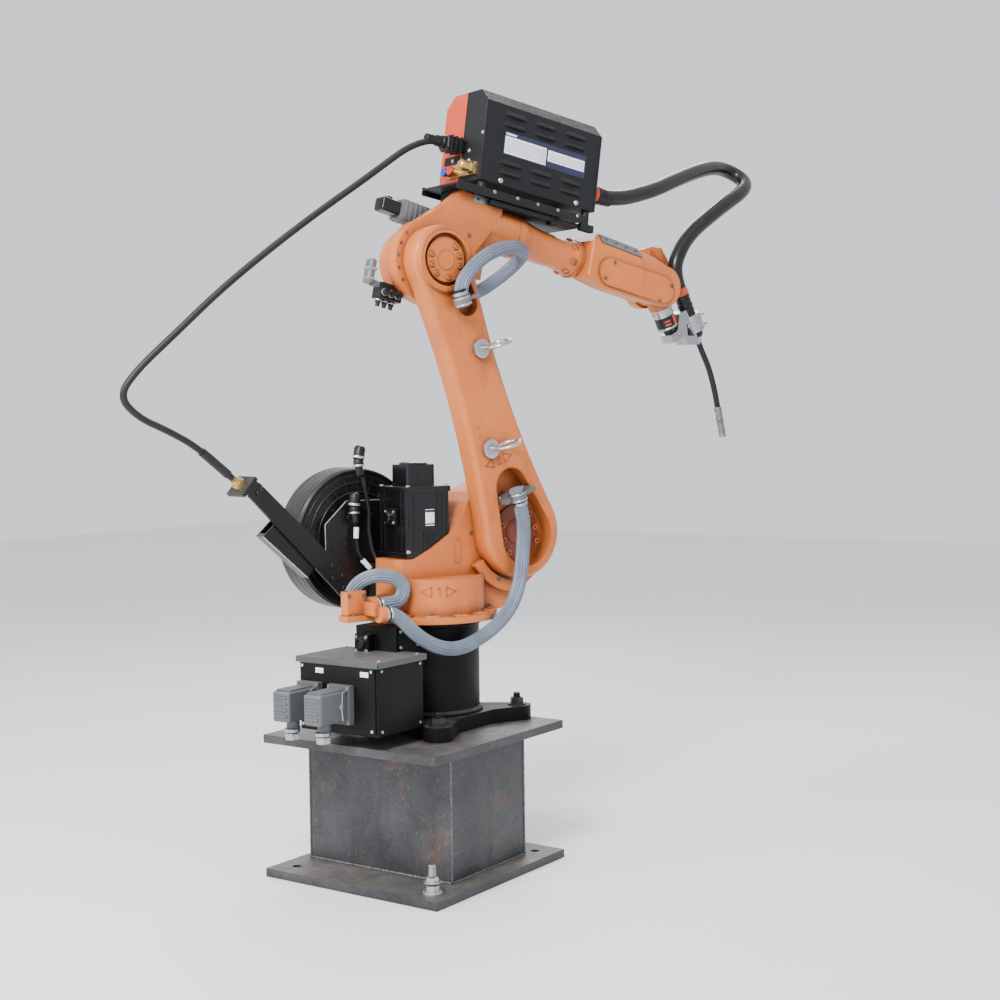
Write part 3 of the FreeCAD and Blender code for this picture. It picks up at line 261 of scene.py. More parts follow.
EXTRA = {
    "pocket_red": surface("pocket_red", (0.17, 0.030, 0.008), 0.2, (0.45, 0.6), grain=300, edge=0.002,
        grime=0.5),
    "white_label": surface("white_label", (0.78, 0.79, 0.8), 0.05, (0.35, 0.5), grime=0.12),
    "blue_label": surface("blue_label", (0.012, 0.014, 0.05), 0.15, (0.35, 0.5)),
    "screw_steel": surface("screw_steel", (0.5, 0.5, 0.5), 0.25, (0.25, 0.45), 0.9, blotch=80, grain=600),
    "dark_screw": surface("dark_screw", (0.03, 0.03, 0.032), 0.3, (0.35, 0.5), 0.6, blotch=60),
    "rusty_bolt": surface("rusty_bolt", (0.16, 0.12, 0.10), 0.4, (0.45, 0.7), 0.7, blotch=50, rust=0.8),
    "weld": surface("weld_bead", (0.13, 0.125, 0.12), 0.4, (0.35, 0.6), 0.8, blotch=90, grain=300,
        rust=0.6),
    "box_lid": surface("box_lid_grey", (0.05, 0.052, 0.055), 0.25, (0.42, 0.56), grain=500, dust=0.3),
    # painted shade: a near-black that stands in for the shade inside holes and openings, and the colour of
    # dark joints
    "hole_dark": surface("hole_dark", (0.004, 0.004, 0.004), 0.3, (0.8, 0.9)),
    "red_port": surface("red_port", (0.4, 0.02, 0.02), 0.2, (0.3, 0.45)),
    "blue_port": surface("blue_port", (0.02, 0.04, 0.3), 0.2, (0.3, 0.45)),
}
SLOT_OF = {
    "steel_plate": ["base_plate", "top_plate", "plinth_rear_wall", "plinth_front_wall",
        "plinth_right_wall",
        "plinth_left_wall"],
    "black_casting": ["base_foot", "base_column", "connector_box"],
    "connector_grey": ["base_connector_1", "base_connector_2"],
    "orange_paint": ["rotating_column", "stop_block", "hose_bracket", "lower_arm", "elbow_pivot_cap",
        "elbow_housing", "forearm_tube", "wrist_housing", "wrist_cover", "wrist_hand"],
    "motor_black": ["base_motor", "shoulder_motor", "elbow_motor", "wrist_motor_cap"],
    "spool_black": ["spool_case", "spool_side_plate", "wire_tray"],
    "bracket_grey": ["spool_bracket", "spool_foot", "feeder_plate", "feeder_foot"],
    "bright_steel": ["cable_ring_lower", "cable_ring_upper", "tool_flange"],
    "clamp_grey": ["hose_clamp_lower", "hose_clamp_upper", "wrist_motor"],
    "junction_black": ["cable_junction", "feeder_connector"],
    "feeder_grey": ["feeder_lid"],
    "feeder_red": ["feeder_body", "feeder_outlet"],
    "brass": ["feeder_hose_ports", "conduit_fitting"],
    "sensor_black": ["collision_sensor", "torch_body"],
    "bracket_silver": ["torch_bracket"],
    "neck_black": ["torch_neck"],
    "nozzle_steel": ["torch_nozzle"],
}


def dress(node, material):
    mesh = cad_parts[node].data
    mesh.materials.clear()
    mesh.materials.append(material)


for slot, nodes in SLOT_OF.items():
    for node in nodes:
        dress(node, FINISH[slot])
dress("shoulder_gear_cover", EXTRA["pocket_red"])
dress("elbow_plug", FINISH["clamp_grey"])


# ---- shapes
def skin(bm, rings, capped=True):
    """Join rings of points by faces, and close the two ends."""
    sides = len(rings[0])
    for low, high in zip(rings, rings[1:]):
        for k in range(sides):
            bm.faces.new((low[k], low[(k + 1) % sides], high[(k + 1) % sides], high[k]))
    if capped:
        bm.faces.new(reversed(rings[0]))
        bm.faces.new(rings[-1])


def sweep(bm, points, reach, sides, closed=False):
    """Sweep a ring along points; reach gives its radius from a point's number and an angle."""
    count = len(points)
    rings = []
    up = None
    for k, p in enumerate(points):
        ahead = points[(k + 1) % count] if closed or k + 1 < count else p
        back = points[k - 1] if closed or k else p
        run = (ahead - back).normalized()
        up = run.orthogonal().normalized() if up is None else (up - run * up.dot(run)).normalized()
        other = run.cross(up)
        ring = []
        for j in range(sides):
            angle = 2 * pi * j / sides
            out = up * cos(angle) + other * sin(angle)
            ring.append(bm.verts.new(p + out * reach(k, angle)))
        rings.append(ring)
    skin(bm, rings + rings[:1] if closed else rings, not closed)


def as_piece(bm, name, material, sharp):
    mesh = bpy.data.meshes.new(name)
    bm.to_mesh(mesh)
    bm.free()
    mesh.shade_smooth()
    mesh.set_sharp_from_angle(angle=radians(sharp))
    mesh.materials.append(material)
    piece = bpy.data.objects.new(name, mesh)
    bpy.context.scene.collection.objects.link(piece)
    return piece


def grid(first, second):
    return [(a, b) for a in first for b in second]


def band(inner, outer, wide, slope=1):
    """The profile of a raised band with sloped rims."""
    return [(inner, 0), (outer, slope), (outer, wide - slope), (inner, wide)]


class Shape:
    """A mesh drawn in millimetres in one frame, then set down as a piece that rides on a body."""

    def __init__(self, place):
        self.place = place
        self.bm = bmesh.new()

    def lathe(self, origin, axis, profile, sides=24, hexagon=None):
        """Turn (radius, height) pairs about axis. Rings from number hexagon on have six flats."""
        axis = Vector(axis).normalized()
        side = axis.orthogonal().normalized()
        other = axis.cross(side)
        rings = []
        for index, (radius, height) in enumerate(profile):
            ring = []
            for k in range(sides):
                angle = 2 * pi * k / sides
                r = radius
                if hexagon is not None and index >= hexagon:
                    r = radius * cos(pi / 6) / cos((angle % (pi / 3)) - pi / 6)
                offset = side * cos(angle) * r + other * sin(angle) * r
                ring.append(self.bm.verts.new(Vector(origin) + axis * height + offset))
            rings.append(ring)
        skin(self.bm, rings)

    def screw(self, origin, axis, r=5, h=5):
        """A socket-head cap screw."""
        profile = [(r, 0), (r, h - 0.16 * r), (r * 0.88, h), (r * 0.56, h), (r * 0.54, h * 0.45)]
        self.lathe(origin, axis, profile, 12, 3)

    def near(self, y, spots, r, h):
        """Screws that face the near side, at (x, z) spots."""
        for x, z in spots:
            self.screw((x, y, z), NEAR, r, h)

    def hex_bolt(self, origin, axis, r, h, washer=1.35):
        """A washer and a hexagon head or nut."""
        self.lathe(origin, axis, [(r * washer, 0), (r * washer, 0.16 * h), (r * washer * 0.97, 0.2 * h)],
                   24)
        self.lathe(Vector(origin) + Vector(axis).normalized() * 0.2 * h, axis,
                   [(r, 0), (r, h * 0.85), (r * 0.86, h)], 24, 0)

    def stud(self, origin, axis, r, length, pitch=1.6):
        profile = []
        for k in range(int(length / pitch)):
            profile += [(r, k * pitch), (r * 0.87, (k + 0.5) * pitch)]
        self.lathe(origin, axis, profile + [(r * 0.8, length)], 14)

    def block(self, low, high, bevel=0.0, segments=2):
        x0, y0, z0 = low
        x1, y1, z1 = high
        made = bmesh.ops.create_cube(self.bm, size=1)["verts"]
        for v in made:
            v.co = Vector((x0 + (v.co.x + 0.5) * (x1 - x0), y0 + (v.co.y + 0.5) * (y1 - y0),
                    z0 + (v.co.z + 0.5) * (z1 - z0)))
        if bevel:
            edges = list({e for v in made for e in v.link_edges})
            bmesh.ops.bevel(self.bm, geom=edges, offset=bevel, segments=segments, affect="EDGES",
                    profile=0.7)

    def prism(self, outline, start, run, bevel=0.0):
        """A flat outline of 3-D points pushed along run."""
        base = [self.bm.verts.new(Vector(p)) for p in outline]
        face = self.bm.faces.new(base)
        made = bmesh.ops.extrude_face_region(self.bm, geom=[face])["geom"]
        top = [g for g in made if isinstance(g, bmesh.types.BMVert)]
        for v in base:
            v.co += Vector(start)
        for v in top:
            v.co += Vector(start) + Vector(run)
        if bevel:
            ring = [e for v in top for e in v.link_edges if e.other_vert(v) in top]
            bmesh.ops.bevel(self.bm, geom=list(set(ring)), offset=bevel, segments=2, affect="EDGES",
                    profile=0.7)

    def tube(self, points, radius, sides=12, closed=False):
        """A round bar along points; radius is a number or a list."""
        radii = radius if isinstance(radius, list) else [radius] * len(points)
        sweep(self.bm, [Vector(p) for p in points], lambda k, angle: radii[k], sides, closed)

    def set_down(self, name, look, body, slot=None, sharp=32):
        """look is a material, or the name of a finish whose material is used."""
        if look in FINISH:
            look, slot = FINISH[look], look
        bmesh.ops.recalc_face_normals(self.bm, faces=self.bm.faces)
        for v in self.bm.verts:
            v.co = self.place @ (v.co * MM)
        piece = as_piece(self.bm, name, look, sharp)
        if body:
            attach(piece, body)
        return piece


def pill(x0, z0, x1, z1, r, y, count=8):
    """The outline of two half circles round two centres, in a plane of constant y."""
    heading = atan2(z1 - z0, x1 - x0)
    points = []
    for cx, cz, start in ((x1, z1, heading - pi / 2), (x0, z0, heading + pi / 2)):
        for k in range(count + 1):
            a = start + pi * k / count
            points.append((cx + r * cos(a), y, cz + r * sin(a)))
    return points


# ---- camera
LENS = 56.49
SENSOR = 36.0
CAMERA_AT = (-2.5679, -2.0109, 0.9234)
CAMERA_YAW = radians(34.86)
CAMERA_DROP = radians(2.73)
CAMERA_ROLL = radians(-0.73)


def camera():
    data = bpy.data.cameras.new("camera")
    data.lens = LENS
    data.sensor_width = SENSOR
    shot = bpy.data.objects.new("camera", data)
    ahead = Vector((cos(CAMERA_YAW) * cos(CAMERA_DROP), sin(CAMERA_YAW) * cos(CAMERA_DROP),
            -sin(CAMERA_DROP)))
    level = Vector((sin(CAMERA_YAW), -cos(CAMERA_YAW), 0))
    top = level.cross(ahead)
    right = level * cos(CAMERA_ROLL) + top * sin(CAMERA_ROLL)
    up = right.cross(ahead)
    shot.matrix_world = Matrix.Translation(Vector(CAMERA_AT)) @ Matrix((right, up,
            -ahead)).transposed().to_4x4()
    bpy.context.scene.collection.objects.link(shot)
    bpy.context.scene.camera = shot


camera()

# ---- hoses: the same route points as the CAD
ARM_HOSE_Y = -116


def route(*stretches):
    """Points along a cord, from stretches that give a frame and then points in it."""
    return [at(place, *point) for place, *points in stretches for point in points]


TORCH_ROUTE = route(
    (FEEDER, (340, -36, 48), (396, -36, 48), (519, -26, 100), (606, -6, 149), (697, 22, 195),
     (769, 46, 225), (820, 62, 237), (855, 57, 233), (870, 35, 217), (860, 13, 195), (826, -3, 167),
     (775, -10, 130), (717, -14, 82), (669, -16, 39), (637, -16, -5)),
    (HAND, (-8, 0, 75), (38, 0, 75)))
CONDUIT_ROUTE = route(
    (FEEDER, (-46, 16, 78), (-100, 16, 78), (-218, 26, -37), (-320, 31, -131), (-415, 37, -225)),
    (TURN, (-457, 42, 897), (-557, 47, 806), (-628, 53, 742), (-664, 60, 692), (-622, 70, 652),
     (-560, 77, 627), (-500, 86, 598)),
    (TAB, (-68, 28, 0), (-22, 28, 0)))
LOOP_ROUTE = route(
    (TURN, (-178, -62, 271), (-144, -62, 271), (-124, -65, 276), (-113, -66, 294), (-118, -63, 314),
     (-142, -53, 327), (-173, -36, 328), (-197, -18, 311), (-203, -4, 286), (-190, 4, 268),
     (-160, 8, 266), (-124, 8, 266)))
LOWER_ROUTE = route(
    (TURN, (-178, -94, 255), (-152, -94, 255), (-127, -124, 212), (-80, -134, 182), (-26, -134, 174),
     (26, -133, 190), (74, -131, 214), (115, -128, 248), (143, -122, 296), (154, -118, 352)),
    (LOWER, (-14, ARM_HOSE_Y, 18), (-7, ARM_HOSE_Y, 56), (-7, ARM_HOSE_Y, 104)))
UPPER_ROUTE = route(
    (LOWER, (-5, ARM_HOSE_Y, 500), (-5, ARM_HOSE_Y, 538)),
    (TURN, (28, -118, 948), (68, -114, 977), (113, -106, 995), (158, -94, 1003), (197, -76, 1001),
     (218, -50, 990), (206, -26, 967), (174, -14, 940)),
    (ELBOW, (130.1, -22, -37.2), (95.5, -22, -27.3)))


TORCH_R = 0.0175
CONDUIT_R = 0.007
GREY_R = 0.0145
GREY_RIBS = 16
GREY_RIB = 0.0018


def smooth_line(name, points):
    """Points along the NURBS spline whose control points are given."""
    data = bpy.data.curves.new(name, "CURVE")
    data.dimensions = "3D"
    data.resolution_u = 14
    spline = data.splines.new("NURBS")
    spline.points.add(len(points) - 1)
    for point, place in zip(spline.points, points):
        point.co = (*place, 1)
    spline.order_u = 3
    spline.use_endpoint_u = True
    carrier = bpy.data.objects.new(name, data)
    mesh = bpy.data.meshes.new_from_object(carrier)
    line = [v.co.copy() for v in mesh.vertices]
    bpy.data.meshes.remove(mesh)
    bpy.data.curves.remove(data)
    return line


def part_of(line, start, end):
    """The stretch of a line between two shares of its length; stretches share their end point."""
    gone = [0.0]
    for a, b in zip(line, line[1:]):
        gone.append(gone[-1] + (b - a).length)
    first = max(k for k, g in enumerate(gone) if g <= start * gone[-1] + 1e-6)
    last = max(k for k, g in enumerate(gone) if g <= end * gone[-1] + 1e-6)
    return line[first:last + 1]


def hose(name, line, radius, material, ribs=0, rib=0.0):
    """A closed tube along a line; ribs run along it, rib deep, in metres."""
    bm = bmesh.new()
    sweep(bm, line, lambda k, angle: radius - rib * (0.5 - 0.5 * cos(ribs * angle)), max(24, ribs * 4))
    bmesh.ops.recalc_face_normals(bm, faces=bm.faces)
    return as_piece(bm, name, material, 60)


def hose_piece(name, line, radius, slot, node, bodies, ribs=0, rib=0.0):
    """A hose along a line that rides on its body, or stays fixed in the scene when it spans two bodies;
    its CAD node is hidden.
    """
    piece = hose(name, line, radius, FINISH[slot], ribs, rib)
    if len(bodies) == 1:
        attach(piece, bodies[0])
    else:
        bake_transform(piece)
    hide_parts(node)


torch_line = smooth_line("torch_line", TORCH_ROUTE)
for name, start, end, *bodies in (
        ("torch_hose_first", 0, 0.5, "elbow", "forearm"),
        ("torch_hose_middle", 0.5, 0.78, "forearm", "hand"),
        ("torch_hose_last", 0.78, 1, "hand", "tool")):
    hose_piece(name, part_of(torch_line, start, end), TORCH_R, "black_hose", "torch_hose", bodies)
conduit_line = smooth_line("conduit_line", CONDUIT_ROUTE)
for name, start, end, *bodies in (
        ("wire_conduit_upper", 0, 0.45, "elbow", "lower_arm"),
        ("wire_conduit_lower", 0.45, 1, "lower_arm", "column")):
    hose_piece(name, part_of(conduit_line, start, end), CONDUIT_R, "black_conduit", "wire_conduit", bodies)
for name, points, *bodies in (
        ("grey_hose_loop", LOOP_ROUTE, "column"),
        ("grey_hose_lower", LOWER_ROUTE, "column", "lower_arm"),
        ("grey_hose_upper", UPPER_ROUTE, "lower_arm", "elbow")):
    hose_piece(name + "_skin", smooth_line(name + "_line", points), GREY_R, "grey_hose", name, bodies,
               ribs=GREY_RIBS, rib=GREY_RIB)


# ---- details: plinth and base
STEEL = EXTRA["screw_steel"]
DARK = EXTRA["dark_screw"]


def weld_bead(shape, start, end, radius=3.2, step=3.2):
    """A row of overlapping ripples between two points."""
    run = Vector(end) - Vector(start)
    count = max(4, int(run.length / step))
    points = [Vector(start) + run * (k / count) for k in range(count + 1)]
    radii = [radius * (0.82 + 0.3 * (k % 2) + 0.12 * sin(k * 1.7)) for k in range(count + 1)]
    shape.tube(points, radii, 8)


ANCHOR = (-180, -176)
FOOT_TOP = 30


def plinth_details():
    plate_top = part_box("base_plate")[1].z / MM
    bolts = Shape(ROW)
    bolts.lathe((*ANCHOR, plate_top), UP, [(20, 0), (20, 3), (19, 4)], 32)
    bolts.hex_bolt((*ANCHOR, plate_top + 4), UP, 14, 11)
    bolts.hex_bolt((*ANCHOR, plate_top + 22), UP, 13, 9)
    bolts.stud((*ANCHOR, plate_top + 34), UP, 8, 22)
    bolts.set_down("anchor_bolt", STEEL, "base", "steel_plate")
    x0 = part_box("plinth_rear_wall")[0].x / MM
    x1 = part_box("plinth_front_wall")[1].x / MM
    y0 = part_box("plinth_right_wall")[0].y / MM
    y1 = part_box("plinth_left_wall")[1].y / MM
    z1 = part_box("top_plate")[0].z / MM
    beads = Shape(ROW)
    for z in (plate_top + 1, z1 - 1):
        corners = [(x0, y0, z), (x1, y0, z), (x1, y1, z), (x0, y1, z)]
        for start, end in zip(corners, corners[1:] + corners[:1]):
            weld_bead(beads, start, end)
    for x, y in ((x0, y0), (x1, y0), (x1, y1), (x0, y1)):
        weld_bead(beads, (x, y, plate_top), (x, y, z1), 2.2)
    beads.set_down("weld_beads", EXTRA["weld"], "base", "steel_plate", 60)


def base_details():
    bolts = Shape(BASE)
    for sx, sy in grid((-1, 1), (-1, 1)):
        bolts.hex_bolt((sx * 140, sy * 120, FOOT_TOP), UP, 15, 13)
        bolts.stud((sx * 140, sy * 120, FOOT_TOP + 14), UP, 8, 12)
    bolts.set_down("foot_bolts", DARK, "base", "black_casting")
    rings = Shape(BASE)
    rings.lathe((0, 0, FOOT_TOP), UP, [(106, 0), (106, 6), (103, 9), (100, 11)], 72)
    rings.lathe((0, 0, 212), UP, band(100, 103, 11, 2), 72)
    rings.block((-170, -46, 178), (-104, -44, 222), 0.8)
    rings.block((-307, -95, 35), (-302.5, 95, 168), 1)
    rings.set_down("base_trim", "black_casting", "base")
    lid = Shape(BASE)
    lid.block((-309, -105, 172), (-154, 105, 176), 1)
    lid.block((-309, -105, 164), (-307, 105, 173), 0.6)
    lid.block((-309, -105, 164), (-154, -103, 173), 0.6)
    lid.set_down("connector_box_lid", EXTRA["box_lid"], "base", "black_casting")
    screws = Shape(BASE)
    for y, z in grid((-88, 88), (42, 158)):
        screws.screw((-307, y, z), REAR, 3.2, 2.5)
    for x in (-292, -172):
        for z in (40, 158):
            screws.screw((x, -100, z), NEAR, 3, 2.2)
        for y in (-94, 94):
            screws.screw((x, y, 176), UP, 4, 2.5)
    for x, z in grid((-164, -110), (184, 216)):
        screws.screw((x, -46, z), NEAR, 3.5, 2.5)
    for y, z in grid((15, 41), (177, 205)):
        screws.screw((-197, y, z), REAR, 3.5, 2.5)
    screws.set_down("base_screws", STEEL, "base", "bright_steel")
    port = Shape(BASE)
    port.block((-199, 14, 176), (-196.5, 42, 206), 1)
    port.lathe((-199, 28, 191), REAR, [(11, 0), (11, 5), (9, 6), (8, 3)], 24)
    port.set_down("base_port_socket", "junction_black", "base")
    labels = Shape(BASE)
    labels.block((-307.8, -80, 146), (-306.8, -60, 156), 0.3)
    labels.block((-307.8, 34, 146), (-306.8, 54, 156), 0.3)
    labels.set_down("blank_labels", EXTRA["white_label"], "base", "connector_grey")
    hoods = Shape(BASE)
    levers = Shape(BASE)
    for y in (-15, 65):
        for z in (70, 82, 94, 106):
            hoods.block((-400, y - 16, z), (-397.5, y + 16, z + 5), 1)
        hoods.block((-390, y - 18, 119.5), (-326, y + 18, 123), 1.5)
        levers.lathe((-367, y, 22), UP, [(14, 0), (15, 2), (15, 12), (13, 14)], 24, 0)
        levers.lathe((-367, y, 38), UP, [(15, -1), (16, 0), (16, 5), (15, 6)], 24)
        for side in (-1, 1):
            edge = y + side * 23.5
            levers.tube([(-314, edge, 66), (-322, edge, 60), (-336, edge, 64), (-338, edge, 90),
                    (-336, edge, 116), (-322, edge, 120), (-314, edge, 114)], 2.2, 8)
            levers.lathe((-338, edge - side * 2, 90), (0, side, 0), [(6, 0), (6, 3), (5, 4)], 16)
        for z, side in grid((56, 124), (-1, 1)):
            levers.screw((-321, y + side * 24, z), REAR, 2.6, 2)
    hoods.set_down("connector_hood_ribs", "connector_grey", "base")
    levers.set_down("connector_levers", "bracket_silver", "base")


# ---- details: rotating column
MOTOR_X, MOTOR_Y, MOTOR_HALF = -30, 16, 54
RIBS_LOW, RIBS_HIGH = 372, 492
DRUM_R = 112


def on_drum(x):
    return -sqrt(DRUM_R * DRUM_R - x * x)


def mark(shape, digit, y_of, x0, z0):
    """A raised numeral between two arrowheads, as axis marks are cast."""
    for side in (-1, 1):
        corners = [(side * 36, 0), (side * 15, 10), (side * 15, -10)]
        shape.tube([(x0 + x, y_of(x), z0 + z) for x, z in corners], 1.5, 8, closed=True)
    shape.tube([(x0 + x, y_of(x), z0 + z) for x, z in digit], 1.5, 8)


def column_details():
    pads = Shape(TURN)
    screws = Shape(TURN)
    for angle in range(-150, 60, 26):
        outline = []
        for r, turns in ((113, (-6, -2, 2, 6)), (138, (6, 2, -2, -6))):
            for turn in turns:
                a = radians(angle + turn)
                outline.append((r * cos(a), r * sin(a), 0))
        pads.prism(outline, (0, 0, 239), (0, 0, 5), 0.8)
        a = radians(angle)
        screws.screw((126 * cos(a), 126 * sin(a), 244), UP, 5, 3.5)
    pads.tube(pill(38, 350, 38, 386, 8, -45), 2.0, 10, closed=True)
    relief = turned("Z", -26.6, 0, 0, 290)
    pads.set_down("flange_pads", "orange_paint", "column")
    numeral = Shape(TURN @ relief)
    mark(numeral, [(-3, 5), (1, 9), (1, -9)], on_drum, 0, 0)
    numeral.set_down("axis_mark_1", "orange_paint", "column", sharp=60)
    screws.screw((133, -62, 303), NEAR, 6, 2)
    screws.screw((84, -62.2, 312), NEAR, 5, 2)
    screws.near(-45, ((84, 436), (74, 402), (88, 369)), 5.5, 0.8)
    for x in (-236, -202):
        screws.screw((x, -52, 292), NEAR, 3.5, 2.5)
        screws.screw((x, -40, 300), UP, 3.5, 2.5)
    screws.screw((-228, -56, 252), UP, 4, 3)
    screws.set_down("column_screws", EXTRA["rusty_bolt"], "column", "orange_paint")
    bands = Shape(TURN)
    for y, z in ((-62, 271), (-94, 255)):
        bands.lathe((-181, y, z), FRONT, band(16.2, 16.8, 5), 32)
        bands.lathe((-172, y, z), FRONT, band(15.2, 16, 6), 32)
    bands.set_down("collar_bands", STEEL, "column", "bright_steel")
    cuffs = Shape(TURN)
    for y, z in ((-62, 271), (-94, 255)):
        cuffs.lathe((-176, y, z), FRONT, band(15.6, 16.4, 4, 0.6), 32)
    cuffs.set_down("collar_cuffs", "junction_black", "column")


def motor_details():
    front = MOTOR_Y - MOTOR_HALF
    left = MOTOR_X - MOTOR_HALF
    right = MOTOR_X + MOTOR_HALF
    trim = Shape(TURN)
    for x in (left + 6, left + 20, right - 30, right - 18, right - 6):
        trim.block((x - 2.5, front - 1.2, RIBS_LOW), (x + 2.5, front + 1, RIBS_HIGH), 0.8)
    for y in (front + 8, front + 22, MOTOR_Y + 30, MOTOR_Y + 44):
        trim.block((left - 1.5, y - 3, RIBS_LOW), (left + 1, y + 3, RIBS_HIGH), 0.8)
    trim.block((left - 3, front - 2.5, 355), (right + 3, MOTOR_Y + MOTOR_HALF + 3, 367), 2)
    trim.block((left - 2, front - 2, 492), (right + 2, MOTOR_Y + MOTOR_HALF + 2, 504), 2)
    trim.block((left - 12, MOTOR_Y - 26, 424), (left, MOTOR_Y + 12, 458), 3)
    trim.lathe((left - 12, MOTOR_Y - 7, 441), REAR, [(12, 0), (12, 8), (10, 10)], 24)
    trim.lathe((MOTOR_X, MOTOR_Y, 549), UP, [(30, 0), (30, 3), (26, 5), (8, 6)], 32)
    trim.block((MOTOR_X - 14, MOTOR_Y - 36, 512), (MOTOR_X + 14, MOTOR_Y - 33, 540), 1.5)
    for x in (-12, -4, 4, 12):
        trim.block((MOTOR_X + x - 1.5, front - 1.2, 374), (MOTOR_X + x + 1.5, front + 1, 412), 0.6)
    trim.set_down("base_motor_trim", "motor_black", "column")
    bolts = Shape(TURN)
    for x, y in grid((left + 6, right - 6), (front + 5, MOTOR_Y + MOTOR_HALF - 6)):
        bolts.screw((x, y, 367), UP, 5.5, 6)
        bolts.screw((x, y, 504), UP, 4.5, 3)
    for z in (430, 452):
        bolts.screw((left - 12, MOTOR_Y - 22, z), REAR, 2.6, 2)
        bolts.screw((left - 12, MOTOR_Y + 8, z), REAR, 2.6, 2)
    bolts.set_down("base_motor_screws", STEEL, "column", "bright_steel")
    label = Shape(TURN)
    label.block((-38, front - 0.8, 422), (-16, front + 0.5, 456), 0.3)
    label.set_down("base_motor_blank_label", EXTRA["white_label"], "column", "connector_grey")
    band = Shape(TURN)
    band.block((-38, front - 1.2, 450), (-16, front, 455), 0.2)
    band.block((-38, front - 1.2, 424), (-16, front, 427), 0.2)
    band.set_down("base_motor_label_bars", EXTRA["blue_label"], "column", "connector_grey")


def plug(shape, metal, place, lean):
    """A right-angled cable plug: a body, a cap, a nut and a strain relief."""
    x, y, z = place
    shape.lathe((x, y, z), (lean, 0, 1), [(10, 0), (12, 2), (12, 24), (10, 28), (5, 31)], 24)
    shape.lathe((x, y, z + 2), (lean * 0.2, -0.1, -1), [(9, 0), (11, 4), (11, 12), (8, 15), (8, 34),
            (5, 38)], 24)
    metal.lathe((x, y, z + 3), (lean, 0, 1), band(12.6, 13.2, 5), 24)
    metal.lathe((x, y, z - 10), (lean * 0.2, -0.1, -1), band(11.4, 12, 4), 24)


def plug_details():
    black = Shape(TURN)
    metal = Shape(TURN)
    plug(black, metal, (-134, 66, 560), 0.2)
    plug(black, metal, (-146, 66, 462), 0.1)
    black.tube([(-141, 66, 424), (-142, 66, 400), (-140, 64, 372), (-128, 60, 348), (-113, 55, 330)], 4,
               10)
    black.tube([(-124, 66, 522), (-118, 64, 490), (-112, 62, 452), (-114, 60, 410), (-112, 52, 372),
                (-106, 46, 352)], 4.5, 10)
    black.set_down("cable_plugs", "junction_black", "column")
    metal.set_down("cable_plug_nuts", STEEL, "column", "bright_steel")
    sleeves = Shape(TURN)
    sleeves.lathe((-141, 66, 420), (-0.05, 0, -1), band(5.2, 5.6, 23), 16)
    sleeves.lathe((-120, 57, 338), (0.5, -0.15, -0.6), [(5.2, -18), (5.6, -17), (5.6, 6), (5.2, 7)], 16)
    sleeves.set_down("white_cable_sleeves", EXTRA["white_label"], "column", "connector_grey")


# ---- details: wire spool
SPOOL = (-112, 104, 393)


def circle(x, y, z, r, count=64):
    return [(x + r * cos(2 * pi * k / count), y, z + r * sin(2 * pi * k / count))
            for k in range(count)]


def spool_details():
    x, y, z = SPOOL
    rims = Shape(TURN)
    for r, thick in ((144, 3.5), (132, 1.5), (118, 2.2), (98, 2.2), (80, 1.5)):
        rims.tube(circle(x, y, z, r), thick, 10, closed=True)
    for k in range(24):
        a = 2 * pi * k / 24
        rims.tube([(x + 100 * cos(a), y, z + 100 * sin(a)),
                   (x + 130 * cos(a), y, z + 130 * sin(a))], 1.4, 8)
    for offset in (18, 40, 62):
        rims.tube(circle(x, y + offset, z, 149), 1.6, 8, closed=True)
    rims.set_down("spool_rims", "spool_black", "column")
    outline = [(-205, 336), (-206, 427), (-154, 474), (-62, 474)]
    edges = Shape(TURN)
    edges.tube([(px, 84, pz) for px, pz in outline], 1.3, 8)
    edges.tube([(-360, 69, 412), (-258, 69, 322)], 1.2, 8)
    edges.tube([(-313, 69, 453), (-216, 69, 366)], 1.2, 8)
    edges.tube([(-358, 97, 413), (-313, 97, 453)], 1.2, 8)
    edges.set_down("sheet_edges", STEEL, "column", "bright_steel")
    # painted shade: dark discs on the side plate stand in for the shade inside its holes
    holes = Shape(TURN)
    for row in range(5):
        for column in range(3):
            holes.lathe((-196 + column * 16 + row * 3, 84, 352 + row * 17), NEAR,
                        [(3.2, -0.5), (3.2, 0.3)], 14)
    for k in range(6):
        holes.lathe((-186 + k * 20, 84, 462 - abs(k - 2.5) * 2), NEAR, [(2.6, -0.5), (2.6, 0.3)], 14)
    holes.set_down("side_plate_holes", EXTRA["hole_dark"], "column", "spool_black")
    bolts = Shape(TURN)
    bolts.near(60, ((-205, 345), (-180, 322), (-203, 318), (-178, 296), (-374, 500), (-366, 508)), 5, 4)
    bolts.near(84, ((-150, 440), (-92, 444), (-198, 380), (-70, 420)), 4, 3)
    bolts.set_down("spool_bracket_bolts", DARK, "column", "bracket_grey")
    boot_line = part_of(conduit_line, 0.93, 0.995)
    boot = hose("conduit_boot", boot_line, 0.0095, FINISH["black_conduit"], 8, 0.0008)
    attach(boot, "column")


